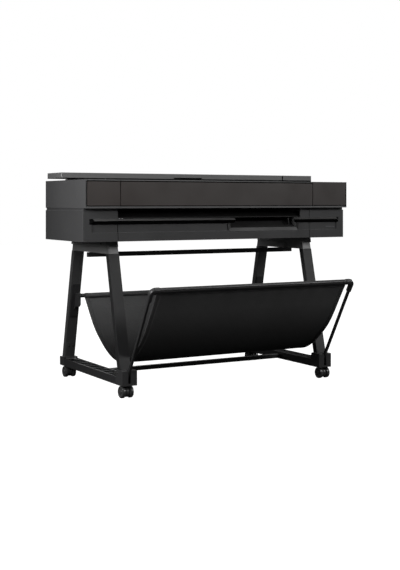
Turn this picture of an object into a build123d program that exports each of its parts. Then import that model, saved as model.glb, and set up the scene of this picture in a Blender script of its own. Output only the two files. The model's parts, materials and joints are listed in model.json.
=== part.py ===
from build123d import *
import math
import os

# Large format plotter on a wheeled stand with a fabric catch basket.
# Millimetres, +Z up, +X to the right of a user who stands in front, -Y towards that user.
# The origin is on the floor, under the middle of the whole object.

# ---------------------------------------------------------------- overall sizes
BODY_WIDTH = 1317.0        # housing, left to right
BODY_DEPTH = 438.5         # upper front face to rear face
STAND_HEIGHT = 636.5       # floor to the underside of the housing
BASKET_REACH = 268.0       # front of the basket tube, ahead of the upper front face
FOOT_REACH = 608.0         # rear end of the feet, behind the upper front face
FOOT_LEAD = 62.0           # front end of the feet, ahead of the upper front face

# ---------------------------------------------------------------- housing
LOWER_HEIGHT = 127.5       # lower storey
BAND_HEIGHT = 10.5         # recessed band between the storeys
UPPER_HEIGHT = 117.5       # upper storey
LOWER_SETBACK = 25.3       # lower front face behind the upper one
BAND_INSET = 3.0
WALL = 3.0                 # moulded covers
FRONT_WALL = 8.0           # lower front face, thick enough for the pocket
LEFT_END = 156.5           # left end to the left seam
RIGHT_END = 192.5          # right end to the right seam
SERVICE_WIDTH = 244.5      # right end to the right edge of the media exit
SEAM = 1.2                 # gap between neighbouring covers
SIDE_SEAM = 95.0           # front part of the left side, measured from the face

LIP_HEIGHT = 8.0           # sloping lip under each face panel
LIP_OUT = 2.5
LIP_IN = 1.5
SEAT = 5.0                 # depth of the seat that a face panel lies in
BEVEL = 5.0                # bevelled top front edge
PANEL_GAP = 3.0            # dark line round each face panel
PANEL_SEAM_GAP = 1.2       # between two face panels
END_STRIP = 5.5            # strip of the left cover beside its face panel

DECK_FRONT_BACK = 196.5    # rear edge of the window, behind the front face
DECK_LEFT_INSET = 80.5     # deck edge, in from the left end
DECK_RIGHT_INSET = 180.5
BAY_MARGIN = 12.0          # deck edge to roll bay, at both ends
BAY_FRONT_BACK = 283.0
BAY_REAR_BACK = 410.0
RIM_WIDTH = 8.0
RIM_HEIGHT = 8.6

POCKET_INSET = 39.0        # ends of the shallow pocket, in from the housing's ends
POCKET_BOTTOM = 37.5       # above the underside
POCKET_TOP = 72.0
POCKET_DEPTH = 4.0
PAN_THICKNESS = 3.0
RAIL_INSET = 27.0
RAIL_END_SLOPE = 17.5
RAIL_OUT = 15.0
RAIL_BOTTOM = 71.0
RAIL_NOSE_LOW = 81.5
RAIL_NOSE_HIGH = 85.5
RAIL_TOP = 94.5

SCOOP_LEFT = 631.5         # right end of the housing to the scoop's left edge
SCOOP_RIGHT = 248.5
SCOOP_CHEEK = 33.0         # slanted cheek, seen from the front
SCOOP_CHEEK_FRONT = 18.0   # share of the cheek beside the front strip
SCOOP_STRIP_BACK = 5.0     # depth of the front strip
SCOOP_SLANT = 9.0          # the mouth is narrower at its foot by this, at each side
SCOOP_BOTTOM = 35.5
SCOOP_STRIP = 50.5         # top of the steep front strip
SCOOP_THROAT = 79.5
SCOOP_DEPTH = 43.0
SCOOP_WALL = 3.0

# ---------------------------------------------------------------- roll cover and control panel
COVER_GAP = 9.6            # air between the housing's top and the roll cover
COVER_HEIGHT = 24.9
COVER_INSET = 4.5
COVER_FRONT_BACK = 269.0
COVER_REAR_BACK = 433.5
CONTROL_WIDTH = 170.0      # control panel, right of the roll cover
COVER_SEAM = 4.0
CONTROL_SKIRT = 7.0        # the panel's right wall reaches this far below the cover's underside
CONTROL_SKIRT_WIDTH = 4.0
COVER_CORNER = 8.0
FINGER_LEFT = 550.0
FINGER_WIDTH = 145.0
FINGER_HEIGHT = 8.0
HINGE_PIN_R = 3.0
RUN_CLEARANCE = 0.05       # radial, shaft in hole
SCREEN_WIDTH = 98.0
SCREEN_DEPTH = 62.0
SCREEN_THICKNESS = 2.0
BUTTON_R = 7.0
BUTTON_TRAVEL = 1.5

# ---------------------------------------------------------------- print engine
PLATE_THICKNESS = 3.0
PLATE_OFFSET_LEFT = 30.0   # side plate outside the media, left
PLATE_OFFSET_RIGHT = 23.0
PLATEN_DROP = 8.0          # platen surface below the lower storey's top
PLATEN_DEPTH = 131.5
PLATEN_THICKNESS = 8.0
FEED_R = 12.0
FEED_SHAFT_R = 5.0
PINCH_R = 6.0
PINCH_SHAFT_R = 2.0
PINCH_COUNT = 8
PAPER_GAP = 0.4
BEAM_FRONT_BACK = 140.5
BEAM_DEPTH = 24.0
BEAM_HEIGHT = 60.0
BEAM_WALL = 3.0
ROD_R = 6.0
ROD_BACK = 116.5
CARRIAGE_WIDTH = 110.0
CARRIAGE_DEPTH = 98.0
CARRIAGE_HEIGHT = 88.0
CARRIAGE_LIFT = 4.5
BELT_WIDTH = 6.0
BELT_THICKNESS = 1.5
PULLEY_R = 8.0
PULLEY_SHAFT_R = 2.5
PULLEY_CLEARANCE = 0.3
MOTOR_SIZE = 38.0
MOTOR_LENGTH = 40.0
CUTTER_WIDTH = 30.0
SPINDLE_R = 9.0
HUB_R = 56.0
HUB_PLUG_R = 37.0
SPINDLE_BACK = 346.5
SPINDLE_DROP = 54.0        # spindle axis below the housing's top
CARTRIDGE_COUNT = 4
CARTRIDGE_WIDTH = 18.5
CARTRIDGE_GAP = 1.5
INLET_WIDTH = 30.0
INLET_HEIGHT = 22.0

# ---------------------------------------------------------------- stand
FOOT_INSET = 135.5         # outer face of a foot, in from the housing's end
FOOT_WIDTH = 66.0
FOOT_BOTTOM = 52.0
FOOT_HEIGHT = 33.0
FRONT_CAP_LENGTH = 66.0
REAR_CAP_LENGTH = 52.0
FRONT_CAP_TOP = 114.0
REAR_CAP_TOP = 92.0
FOOT_POCKET_DEPTH = 12.0
FOOT_RIB_PITCH = 46.0
FOOT_RIB = 5.0
LEG_WIDTH = 49.0
LEG_DEPTH = 29.0
LEG_OUTER = 5.0            # leg's outer face inside the foot's outer face
FRONT_LEG_FOOT_BACK = -21.5
FRONT_LEG_TOP_BACK = 98.5
REAR_LEG_FOOT_BACK = 578.0
REAR_LEG_TOP_BACK = 464.8
BRACKET_HEIGHT = 54.0
BRACKET_STEP = 24.5
BRACKET_RECESS = 5.0
BAR_MOUNT_LENGTH = 96.0     # thickened part of a bracket, above the upper bar
BAR_MOUNT_OUT = 2.0
CROSSBAR_BACK = 262.0
CROSSBAR_DEPTH = 20.0
CROSSBAR_HEIGHT = 20.0
CROSSBAR_INSET = 127.5
LOWER_BAR_BACK = 254.0
LOWER_BAR_DEPTH = 20.0
LOWER_BAR_BOTTOM = 56.0
LOWER_BAR_HEIGHT = 19.0
BAR_FLANGE = 3.0           # end plate of the lower bar
BAR_FLANGE_EDGE = 6.0
ANGLE_THICKNESS = 3.0      # bent plate that holds a rear leg to its foot
ANGLE_INSET = 3.0
ANGLE_TOP = 160.0
ANGLE_REACH = 34.0
ANGLE_SCREW_Z = 142.0
ANGLE_SCREW_SPREAD = 10.0
HEAD_HEIGHT = 1.6          # button heads
SMALL_HEAD_R = 3.5
BRACKET_HEAD_R = 4.0
CAP_SCREW_BACK = 48.0      # screw of a front cap, behind the foot's front end
CAP_SCREW_DROP = 14.0      # and below the cap's top
BRACKET_SCREWS_BACK = (150.0, 400.0)
PIN_INSET = 6.0            # pivot pin's ends, in from the foot's sides

# ---------------------------------------------------------------- basket
SLOT_OUTER = 26.5          # outer prong of a front foot cap
SLOT_DEPTH = 32.0
SLOT_BOTTOM = 60.0
PIVOT_BACK = -46.0
PIVOT_HEIGHT = 88.0
PIVOT_R = 3.0
ARM_WIDTH = 10.0
SLOT_WIDTH = ARM_WIDTH + 2.0
ARM_DEPTH = 12.0
ARM_GROOVE_WIDTH = 4.0
ARM_GROOVE_DEPTH = 2.0
ARM_GROOVE_START = 60.0
FRONT_TUBE_R = 11.0
FRONT_TUBE_HEIGHT = 453.0
ELBOW_R = 13.5
ELBOW_SIDE = 36.0
ELBOW_DOWN = 48.0
ELBOW_OUT = 5.5            # elbow beyond the arm's outer face
ELBOW_WALL = 4.0
REAR_TUBE_R = 9.0
REAR_TUBE_BACK = 458.0
REAR_TUBE_HEIGHT = 379.0
CLAMP_WIDTH = 8.0
CLAMP_R = 14.0
CLAMP_DROP = 50.0          # depth of the clamp's web below the rear tube
FABRIC_INSET = 196.5       # fabric edge, in from the housing's end
FABRIC_THICKNESS = 2.5
FABRIC_CLEARANCE = 1.0
BASKET_LOW = 126.0         # lowest line of the fabric
FRONT_KNOT = (0.44, 0.33)  # shares of the way to the middle and of the drop, where the cloth curves
REAR_KNOT = (0.62, 0.36)
LOW_LEAD = 14.0            # lowest line, ahead of the middle between the tubes

# ---------------------------------------------------------------- casters
WHEEL_R = 25.0
WHEEL_WIDTH = 17.0
WHEEL_GAP = 19.0           # between the two wheels of a caster
AXLE_R = 3.0
TRAIL = 11.75
STEM_R = 5.5
STEM_LENGTH = 22.0
CASTER_CLEARANCE = 0.3
HORN_WIDTH = WHEEL_GAP - 1.6

# ---------------------------------------------------------------- derived places
HALF = BODY_WIDTH / 2
FRONT = (BASKET_REACH + ELBOW_R - FRONT_TUBE_R - FOOT_REACH) / 2


def back(distance):
    """Y of the plane this far behind the upper front face."""
    return FRONT + distance


REAR = back(BODY_DEPTH)
LOWER_FRONT = back(LOWER_SETBACK)
LOWER_TOP = STAND_HEIGHT + LOWER_HEIGHT
UPPER_BOTTOM = LOWER_TOP + BAND_HEIGHT
BODY_TOP = UPPER_BOTTOM + UPPER_HEIGHT
COVER_BOTTOM = BODY_TOP + COVER_GAP
COVER_TOP = COVER_BOTTOM + COVER_HEIGHT
LEFT_SEAM = -HALF + LEFT_END
RIGHT_SEAM = HALF - RIGHT_END
EXIT_LEFT = LEFT_SEAM
EXIT_RIGHT = HALF - SERVICE_WIDTH
DECK_LEFT = -HALF + DECK_LEFT_INSET
DECK_RIGHT = HALF - DECK_RIGHT_INSET
DECK_FRONT = back(DECK_FRONT_BACK)
BAY_LEFT = DECK_LEFT + BAY_MARGIN
BAY_RIGHT = DECK_RIGHT - BAY_MARGIN
COVER_LEFT = -HALF + COVER_INSET
CONTROL_RIGHT = HALF - COVER_INSET
CONTROL_LEFT = CONTROL_RIGHT - CONTROL_WIDTH
COVER_RIGHT = CONTROL_LEFT - COVER_SEAM
COVER_LENGTH = COVER_RIGHT - COVER_LEFT
PLATE_LEFT = EXIT_LEFT - PLATE_OFFSET_LEFT
PLATE_RIGHT = EXIT_RIGHT + PLATE_OFFSET_RIGHT
PLATEN_TOP = LOWER_TOP - PLATEN_DROP
PLATEN_FRONT = LOWER_FRONT + FRONT_WALL + 0.3
PLATEN_REAR = PLATEN_FRONT + PLATEN_DEPTH
FEED_Y = PLATEN_REAR + FEED_R + 2.0
FEED_Z = PLATEN_TOP + 1.0 - FEED_R
PINCH_Z = FEED_Z + FEED_R + PAPER_GAP + PINCH_R
BEAM_FRONT = back(BEAM_FRONT_BACK)
BEAM_BOTTOM = UPPER_BOTTOM + 24.0
BEAM_TOP = BEAM_BOTTOM + BEAM_HEIGHT
ROD_Y = back(ROD_BACK)
ROD_Z = UPPER_BOTTOM + 26.0
PARK_X = HALF - 155.5      # carriage's middle when parked
CARTRIDGE_LEFT = PARK_X + CARRIAGE_WIDTH / 2 + 10.5
PULLEY_Z = BEAM_TOP - 20.0
PULLEY_Y = BEAM_FRONT - 2.0 - BELT_WIDTH / 2
PULLEY_LEFT = -HALF + 48.0
PULLEY_RIGHT = PARK_X + 37.0
SPINDLE_Y = back(SPINDLE_BACK)
SPINDLE_Z = BODY_TOP - SPINDLE_DROP
FOOT_OUTER = HALF - FOOT_INSET
FOOT_INNER = FOOT_OUTER - FOOT_WIDTH
FOOT_TOP = FOOT_BOTTOM + FOOT_HEIGHT
FOOT_FRONT = back(-FOOT_LEAD)
FOOT_REAR = back(FOOT_REACH)
LEG_OUT = FOOT_OUTER - LEG_OUTER
LEG_IN = LEG_OUT - LEG_WIDTH
LEG_TOP = STAND_HEIGHT - BRACKET_HEIGHT
ARM_X = FOOT_OUTER - SLOT_OUTER - SLOT_WIDTH / 2
PIVOT_Y = back(PIVOT_BACK)
FRONT_TUBE_Y = back(-BASKET_REACH) + FRONT_TUBE_R
REAR_TUBE_Y = back(REAR_TUBE_BACK)
ARM_LEAN = math.degrees(math.atan2(PIVOT_Y - FRONT_TUBE_Y, FRONT_TUBE_HEIGHT - PIVOT_HEIGHT))
ARM_LENGTH = math.hypot(PIVOT_Y - FRONT_TUBE_Y, FRONT_TUBE_HEIGHT - PIVOT_HEIGHT)
FABRIC_HALF = HALF - FABRIC_INSET
CASTER_X = FOOT_OUTER - 28.5
COVER_HINGE_Y = back(COVER_REAR_BACK) - 7.0
COVER_HINGE_Z = COVER_BOTTOM + 5.0
WINDOW_HINGE_R = 2.5
WINDOW_HINGE_Y = DECK_FRONT - WINDOW_HINGE_R - SEAM
WINDOW_HINGE_Z = BODY_TOP - WINDOW_HINGE_R
WINDOW_PIN_R = 1.2
DOOR_HINGE_Y = FRONT + SEAT + WALL + 5.0
DOOR_HINGE_Z = UPPER_BOTTOM + 3.0
DOOR_PIN_R = 1.5
CONTROL_HINGE_Y = back(COVER_FRONT_BACK) + 8.0
CONTROL_HINGE_Z = COVER_BOTTOM + 5.0


# ---------------------------------------------------------------- shapes used by several pieces
def block(x0, x1, y0, y1, z0, z1):
    """Box between two corners."""
    return Pos((x0 + x1) / 2, (y0 + y1) / 2, (z0 + z1) / 2) * Box(
        abs(x1 - x0), abs(y1 - y0), abs(z1 - z0))


def rod_x(x0, x1, y, z, radius):
    """Cylinder along X."""
    return Pos((x0 + x1) / 2, y, z) * Rot(0, 90, 0) * Cylinder(radius, abs(x1 - x0))


def rod_y(x, y0, y1, z, radius):
    """Cylinder along Y."""
    return Pos(x, (y0 + y1) / 2, z) * Rot(90, 0, 0) * Cylinder(radius, abs(y1 - y0))


def rod_z(x, y, z0, z1, radius):
    """Cylinder along Z."""
    return Pos(x, y, (z0 + z1) / 2) * Cylinder(radius, z1 - z0)


def prism_x(outline, x0, x1):
    """Closed outline of (y, z) points, extruded from x0 to x1."""
    low, high = min(x0, x1), max(x0, x1)
    face = make_face(Polyline(*[(low, y, z) for y, z in outline], close=True))
    return extrude(face, amount=high - low, dir=(1, 0, 0))


def prism_y(outline, y0, y1):
    """Closed outline of (x, z) points, extruded from y0 to y1."""
    face = make_face(Polyline(*[(x, y0, z) for x, z in outline], close=True))
    return extrude(face, amount=y1 - y0, dir=(0, 1, 0))


def group(solids):
    """Several separate solids in one node."""
    return Compound(children=[solid for shape in solids for solid in shape.solids()])


def both_sides(make):
    """The same piece on the left (-1) and on the right (+1)."""
    return group([make(-1), make(1)])


def block_side(side, x_in, x_out, y0, y1, z0, z1):
    """Box on the left or right side of the object."""
    return block(side * x_in, side * x_out, y0, y1, z0, z1)


# ---------------------------------------------------------------- lower storey
def lower_shell(x0, x1, left_closed, right_closed):
    """End housing of the lower storey: outer walls, recessed band, open underside."""
    shell = block(x0, x1, LOWER_FRONT, REAR, STAND_HEIGHT, LOWER_TOP)
    left_in = BAND_INSET if left_closed else 0
    right_in = BAND_INSET if right_closed else 0
    shell += block(
        x0 + left_in, x1 - right_in, LOWER_FRONT + BAND_INSET,
        REAR - BAND_INSET, LOWER_TOP, UPPER_BOTTOM)
    left_wall = WALL if left_closed else -1
    right_wall = WALL if right_closed else -1
    room_front = LOWER_FRONT + FRONT_WALL
    shell -= block(
        x0 + left_wall, x1 - right_wall, room_front,
        REAR - WALL, STAND_HEIGHT - 1, LOWER_TOP - WALL)
    shell -= block(
        x0 + left_wall + left_in, x1 - right_wall - right_in,
        room_front, REAR - WALL - BAND_INSET, STAND_HEIGHT, UPPER_BOTTOM + 1)
    return shell - pocket_cut()


def pocket_cut():
    """Shallow pocket that runs under the front rail."""
    return block(
        -HALF + POCKET_INSET, HALF - POCKET_INSET, LOWER_FRONT - 1, LOWER_FRONT + POCKET_DEPTH,
        STAND_HEIGHT + POCKET_BOTTOM, STAND_HEIGHT + POCKET_TOP)


def lower_left_end():
    """Left end housing, with the hole for the mains inlet in its rear wall."""
    x, z = inlet_place()
    shell = lower_shell(-HALF, LEFT_SEAM - SEAM / 2, True, False)
    return shell - block(
        x - INLET_WIDTH / 2, x + INLET_WIDTH / 2, REAR - 2 * WALL,
        REAR + 1, z - INLET_HEIGHT / 2, z + INLET_HEIGHT / 2)


def lower_right_end():
    return lower_shell(RIGHT_SEAM + SEAM / 2, HALF, False, True)


def lower_front_panel():
    """Panel under the media exit, with a taller part beside the exit and the hole for the scoop."""
    x0 = LEFT_SEAM + SEAM / 2
    x1 = RIGHT_SEAM - SEAM / 2
    y1 = LOWER_FRONT + FRONT_WALL
    panel = block(x0, x1, LOWER_FRONT, y1, STAND_HEIGHT, STAND_HEIGHT + RAIL_TOP)
    panel += block(EXIT_RIGHT, x1, LOWER_FRONT, y1, STAND_HEIGHT, LOWER_TOP)
    panel += block(EXIT_RIGHT, x1, LOWER_FRONT + BAND_INSET, y1, LOWER_TOP, UPPER_BOTTOM)
    panel -= pocket_cut()
    return panel - scoop_block(0.0)


def scoop_block(shrink):
    """Room for the sheet scoop; the scoop itself is smaller by shrink on its free sides."""
    left = HALF - SCOOP_LEFT - SCOOP_WALL + shrink
    right = HALF - SCOOP_RIGHT + SCOOP_WALL - shrink
    low = STAND_HEIGHT + SCOOP_BOTTOM - SCOOP_WALL + shrink
    high = STAND_HEIGHT + RAIL_TOP
    outline = [(left + SCOOP_SLANT, low), (right - SCOOP_SLANT, low), (right, high), (left, high)]
    return prism_y(outline, LOWER_FRONT, LOWER_FRONT + SCOOP_DEPTH)


def sheet_scoop():
    """Funnel for cut sheets: steep front strip, dark slope and two slanted cheeks."""
    left = HALF - SCOOP_LEFT
    right = HALF - SCOOP_RIGHT
    mouth = LOWER_FRONT - 1
    end = LOWER_FRONT + SCOOP_DEPTH + 1
    top = STAND_HEIGHT + RAIL_TOP + 1
    slope = [
        (mouth, STAND_HEIGHT + SCOOP_BOTTOM),
        (LOWER_FRONT, STAND_HEIGHT + SCOOP_BOTTOM),
        (LOWER_FRONT + SCOOP_STRIP_BACK, STAND_HEIGHT + SCOOP_STRIP),
        (end, STAND_HEIGHT + SCOOP_THROAT),
        (end, top),
        (mouth, top),
    ]
    funnel = prism_x(slope, left, right)
    step = LOWER_FRONT + SCOOP_STRIP_BACK
    plan = Polyline(
        (left, mouth), (right, mouth), (right - SCOOP_CHEEK_FRONT, step),
        (right - SCOOP_CHEEK, end),
        (left + SCOOP_CHEEK, end), (left + SCOOP_CHEEK_FRONT, step), close=True)
    funnel = funnel & (Pos(0, 0, STAND_HEIGHT) * extrude(make_face(plan), amount=RAIL_TOP + 10))
    foot = STAND_HEIGHT + SCOOP_BOTTOM
    front = [(left + SCOOP_SLANT, foot), (right - SCOOP_SLANT, foot), (right, top), (left, top)]
    return scoop_block(0.1) - (funnel & prism_y(front, mouth, end))


def front_rail():
    """Projecting rail below the media exit, with bevelled ends and a gap for the scoop."""
    profile = [
        (LOWER_FRONT, STAND_HEIGHT + RAIL_BOTTOM),
        (LOWER_FRONT - RAIL_OUT, STAND_HEIGHT + RAIL_NOSE_LOW),
        (LOWER_FRONT - RAIL_OUT, STAND_HEIGHT + RAIL_NOSE_HIGH),
        (LOWER_FRONT, STAND_HEIGHT + RAIL_TOP),
    ]
    end = HALF - RAIL_INSET
    rail = prism_x(profile, -end, end)
    nose = LOWER_FRONT - RAIL_OUT
    plan = Polyline(
        (-end, LOWER_FRONT), (end, LOWER_FRONT),
        (end - RAIL_END_SLOPE, nose), (-end + RAIL_END_SLOPE, nose),
        close=True)
    rail = rail & (Pos(0, 0, STAND_HEIGHT) * extrude(make_face(plan), amount=LOWER_HEIGHT))
    gap_left = HALF - SCOOP_LEFT + SCOOP_CHEEK
    gap_right = HALF - SCOOP_RIGHT - SCOOP_CHEEK + 4.0
    return rail - block(gap_left, gap_right, nose - 1, LOWER_FRONT + 1, STAND_HEIGHT, LOWER_TOP)


def base_pan():
    """Sheet-metal floor of the housing."""
    side = WALL + 0.2
    return block(
        -HALF + side, HALF - side, LOWER_FRONT + FRONT_WALL + 0.2, REAR - side,
        STAND_HEIGHT, STAND_HEIGHT + PAN_THICKNESS)


def rear_cover():
    """Rear wall of both storeys with a shallow bulge and cooling slots."""
    low = block(
        LEFT_SEAM + SEAM / 2, RIGHT_SEAM - SEAM / 2, REAR - WALL, REAR, STAND_HEIGHT, UPPER_BOTTOM)
    high = block(
        DECK_LEFT + SEAM, DECK_RIGHT - SEAM, REAR - WALL, REAR, UPPER_BOTTOM, BODY_TOP - WALL)
    bulge_x = LEFT_SEAM + 30.0
    bulge_end = RIGHT_SEAM - 30.0
    bulge_low = STAND_HEIGHT + 34.0
    bulge_high = BODY_TOP - 30.0
    bulge_out = 24.0
    cover = low + high + block(
        bulge_x, bulge_end, REAR - WALL, REAR + bulge_out, bulge_low, bulge_high)
    outer_edges = cover.edges().filter_by(Axis.X).sort_by(Axis.Y)[-2:]
    cover = fillet(outer_edges, 10.0)
    cover -= block(
        bulge_x + WALL, bulge_end - WALL, REAR - WALL - 1, REAR + bulge_out - WALL,
        bulge_low + WALL, bulge_high - WALL)
    slots = [
        block(bulge_x + 40 + 14 * i, bulge_x + 45 + 14 * i, REAR, REAR + bulge_out + 1,
              bulge_low + 30, bulge_low + 70)
        for i in range(12)
    ]
    return cover - slots


# ---------------------------------------------------------------- upper storey covers
def face_outline(top_y, bevelled):
    """Front wall with a sloping lip and a face panel's seat; the top plate runs back to top_y."""
    inner = FRONT + SEAT + WALL
    outline = [
        (FRONT - LIP_OUT, UPPER_BOTTOM),
        (FRONT + LIP_IN, UPPER_BOTTOM + LIP_HEIGHT),
        (FRONT + SEAT, UPPER_BOTTOM + LIP_HEIGHT),
    ]
    if bevelled:
        outline += [
            (FRONT + SEAT, BODY_TOP - BEVEL),
            (FRONT, BODY_TOP - BEVEL),
            (FRONT + BEVEL, BODY_TOP),
            (top_y, BODY_TOP),
            (top_y, BODY_TOP - WALL),
            (inner, BODY_TOP - WALL),
        ]
    else:
        outline += [(FRONT + SEAT, BODY_TOP), (inner, BODY_TOP)]
    return outline + [(inner, UPPER_BOTTOM)]


def face_panel(x0, x1, top):
    """Brown-grey panel that lies in the seat of a cover."""
    low = UPPER_BOTTOM + LIP_HEIGHT + PANEL_GAP
    return block(x0, x1, FRONT, FRONT + SEAT, low, top)


def window_boss(x0, x1, pin_end):
    """Hinge boss and pin at one end of the window."""
    boss = rod_x(x0, x1, WINDOW_HINGE_Y, WINDOW_HINGE_Z, WINDOW_HINGE_R)
    return boss + rod_x(x0, pin_end, WINDOW_HINGE_Y, WINDOW_HINGE_Z, WINDOW_PIN_R)


def left_front_cover():
    x1 = LEFT_SEAM - SEAM / 2
    y_side = back(SIDE_SEAM) - SEAM / 2
    cover = prism_x(face_outline(y_side, True), -HALF, x1)
    cover += block(
        -HALF, -HALF + END_STRIP, FRONT, FRONT + SEAT + WALL, UPPER_BOTTOM, BODY_TOP - BEVEL)
    cover += block(-HALF, -HALF + WALL, FRONT + SEAT, y_side, UPPER_BOTTOM, BODY_TOP)
    cover += block(DECK_LEFT, x1, y_side - 1, DECK_FRONT - SEAM, BODY_TOP - WALL, BODY_TOP)
    return cover + window_boss(x1 - 12, x1, LEFT_SEAM + 8)


def left_front_panel():
    x0 = -HALF + END_STRIP + PANEL_GAP
    x1 = LEFT_SEAM - SEAM / 2 - PANEL_SEAM_GAP
    return face_panel(x0, x1, BODY_TOP - BEVEL - PANEL_GAP)


def left_side_cover():
    """Left side of the upper storey behind the front cover."""
    y0 = back(SIDE_SEAM) + SEAM / 2
    x1 = DECK_LEFT - SEAM / 2
    shell = block(-HALF, x1, y0, REAR, UPPER_BOTTOM, BODY_TOP)
    return shell - block(
        -HALF + WALL, x1 + 1, y0 - 1, REAR - WALL, UPPER_BOTTOM - 1, BODY_TOP - WALL)


def right_side_cover():
    """Right side of the upper storey: the ink door's hinge rail and the control panel's seat."""
    x0 = RIGHT_SEAM + SEAM / 2
    shell = block(x0, HALF, FRONT + SEAT + WALL + SEAM, REAR, UPPER_BOTTOM, BODY_TOP)
    shell -= block(x0 - 1, HALF - WALL, FRONT, REAR - WALL, UPPER_BOTTOM - 1, BODY_TOP - WALL)
    shell -= block(
        x0 - 1, DECK_RIGHT + SEAM / 2, DECK_FRONT - SEAM, REAR + 1, UPPER_BOTTOM - 1, BODY_TOP + 1)
    shell += block(HALF - WALL, HALF, FRONT, FRONT + SEAT + WALL + SEAM, UPPER_BOTTOM, BODY_TOP)
    shell += window_boss(x0 + 12, x0, RIGHT_SEAM - 8)
    rail_y = DOOR_HINGE_Y + 6.0
    shell += block(x0, HALF - WALL, rail_y, rail_y + 6.0, UPPER_BOTTOM, UPPER_BOTTOM + 8.0)
    for x in door_hinge_places():
        shell += block(x, x + 6, DOOR_HINGE_Y - 2.5, rail_y, UPPER_BOTTOM + 0.5, UPPER_BOTTOM + 6.0)
        shell += rod_x(x, x + 12.5, DOOR_HINGE_Y, DOOR_HINGE_Z, DOOR_PIN_R)
    seat_y = CONTROL_HINGE_Y + 14.0
    shell += block(
        CONTROL_LEFT + 14, CONTROL_RIGHT - 14, seat_y,
        back(COVER_REAR_BACK) - 18, BODY_TOP, BODY_TOP + RIM_HEIGHT)
    for x in control_hinge_places():
        shell += block(x, x + 8, seat_y, seat_y + 8, BODY_TOP, CONTROL_HINGE_Z + 3)
        shell += block(
            x, x + 8, CONTROL_HINGE_Y - 3, seat_y + 1, CONTROL_HINGE_Z - 3, CONTROL_HINGE_Z + 3)
        shell += rod_x(x, x + 18, CONTROL_HINGE_Y, CONTROL_HINGE_Z, HINGE_PIN_R)
    return shell


def door_hinge_places():
    return [RIGHT_SEAM + 8.0, HALF - WALL - 30.0]


def control_hinge_places():
    return [CONTROL_LEFT + 20.0, CONTROL_RIGHT - 46.0]


def cover_hinge_places():
    return [COVER_LEFT + 0.25 * COVER_LENGTH, COVER_LEFT + 0.75 * COVER_LENGTH]


def front_window():
    """Long middle cover: front wall and top plate in one, hinged at its rear edge."""
    x0 = LEFT_SEAM + SEAM / 2
    x1 = RIGHT_SEAM - SEAM / 2
    cover = prism_x(face_outline(WINDOW_HINGE_Y, True), x0, x1)
    cover += rod_x(x0, x1, WINDOW_HINGE_Y, WINDOW_HINGE_Z, WINDOW_HINGE_R)
    bore = WINDOW_PIN_R + RUN_CLEARANCE
    cover -= rod_x(x0 - 1, x0 + 9, WINDOW_HINGE_Y, WINDOW_HINGE_Z, bore)
    return cover - rod_x(x1 - 9, x1 + 1, WINDOW_HINGE_Y, WINDOW_HINGE_Z, bore)


def window_panel():
    edge = SEAM / 2 + PANEL_SEAM_GAP
    return face_panel(LEFT_SEAM + edge, RIGHT_SEAM - edge, BODY_TOP - BEVEL - PANEL_GAP)


def ink_door():
    """Drop-down door over the ink cartridges."""
    x1 = HALF - WALL - SEAM / 2
    door = prism_x(face_outline(0, False), RIGHT_SEAM + SEAM / 2, x1)
    inner = FRONT + SEAT + WALL
    for x in door_hinge_places():
        lug = block(x + 6.5, x + 11.5, inner - 1, DOOR_HINGE_Y, UPPER_BOTTOM, UPPER_BOTTOM + 6.0)
        lug += rod_x(x + 6.5, x + 11.5, DOOR_HINGE_Y, DOOR_HINGE_Z, 3.0)
        door += lug
        door -= rod_x(x, x + 14, DOOR_HINGE_Y, DOOR_HINGE_Z, DOOR_PIN_R + RUN_CLEARANCE)
    return door


def ink_door_panel():
    x0 = RIGHT_SEAM + SEAM / 2 + PANEL_SEAM_GAP
    return face_panel(x0, HALF - WALL - SEAM / 2 - PANEL_SEAM_GAP, BODY_TOP - PANEL_SEAM_GAP)


def top_deck():
    """Deck round the roll bay with a raised rim and the roll cover's hinge ears."""
    deck = block(DECK_LEFT, DECK_RIGHT, DECK_FRONT, REAR, BODY_TOP - WALL, BODY_TOP)
    bay_y0 = back(BAY_FRONT_BACK)
    bay_y1 = back(BAY_REAR_BACK)
    deck += block(
        BAY_LEFT - RIM_WIDTH, BAY_RIGHT + RIM_WIDTH, bay_y0 - RIM_WIDTH, bay_y1 + RIM_WIDTH,
        BODY_TOP - 1, BODY_TOP + RIM_HEIGHT)
    deck -= block(
        BAY_LEFT, BAY_RIGHT, bay_y0, bay_y1, BODY_TOP - WALL - 1, BODY_TOP + RIM_HEIGHT + 1)
    for x in cover_hinge_places():
        deck += block(
            x, x + 12, COVER_HINGE_Y - 8, COVER_HINGE_Y + 4, BODY_TOP - 1, COVER_HINGE_Z + 4)
        deck += rod_x(x, x + 24, COVER_HINGE_Y, COVER_HINGE_Z, HINGE_PIN_R)
    return deck


def raised_shell(x0, x1, y0, y1, z0, rounded):
    """Shallow tray turned upside down, with rounded outer corners."""
    shell = block(x0, x1, y0, y1, z0, COVER_TOP)
    corners = shell.edges().filter_by(Axis.Z).sort_by(Axis.X)
    shell = fillet(corners[:2] if rounded < 0 else corners[-2:], COVER_CORNER)
    shell = chamfer(shell.faces().sort_by(Axis.Z)[-1].edges(), 1.5)
    return shell - block(x0 + WALL, x1 - WALL, y0 + WALL, y1 - WALL, z0 - 1, COVER_TOP - WALL)


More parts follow.
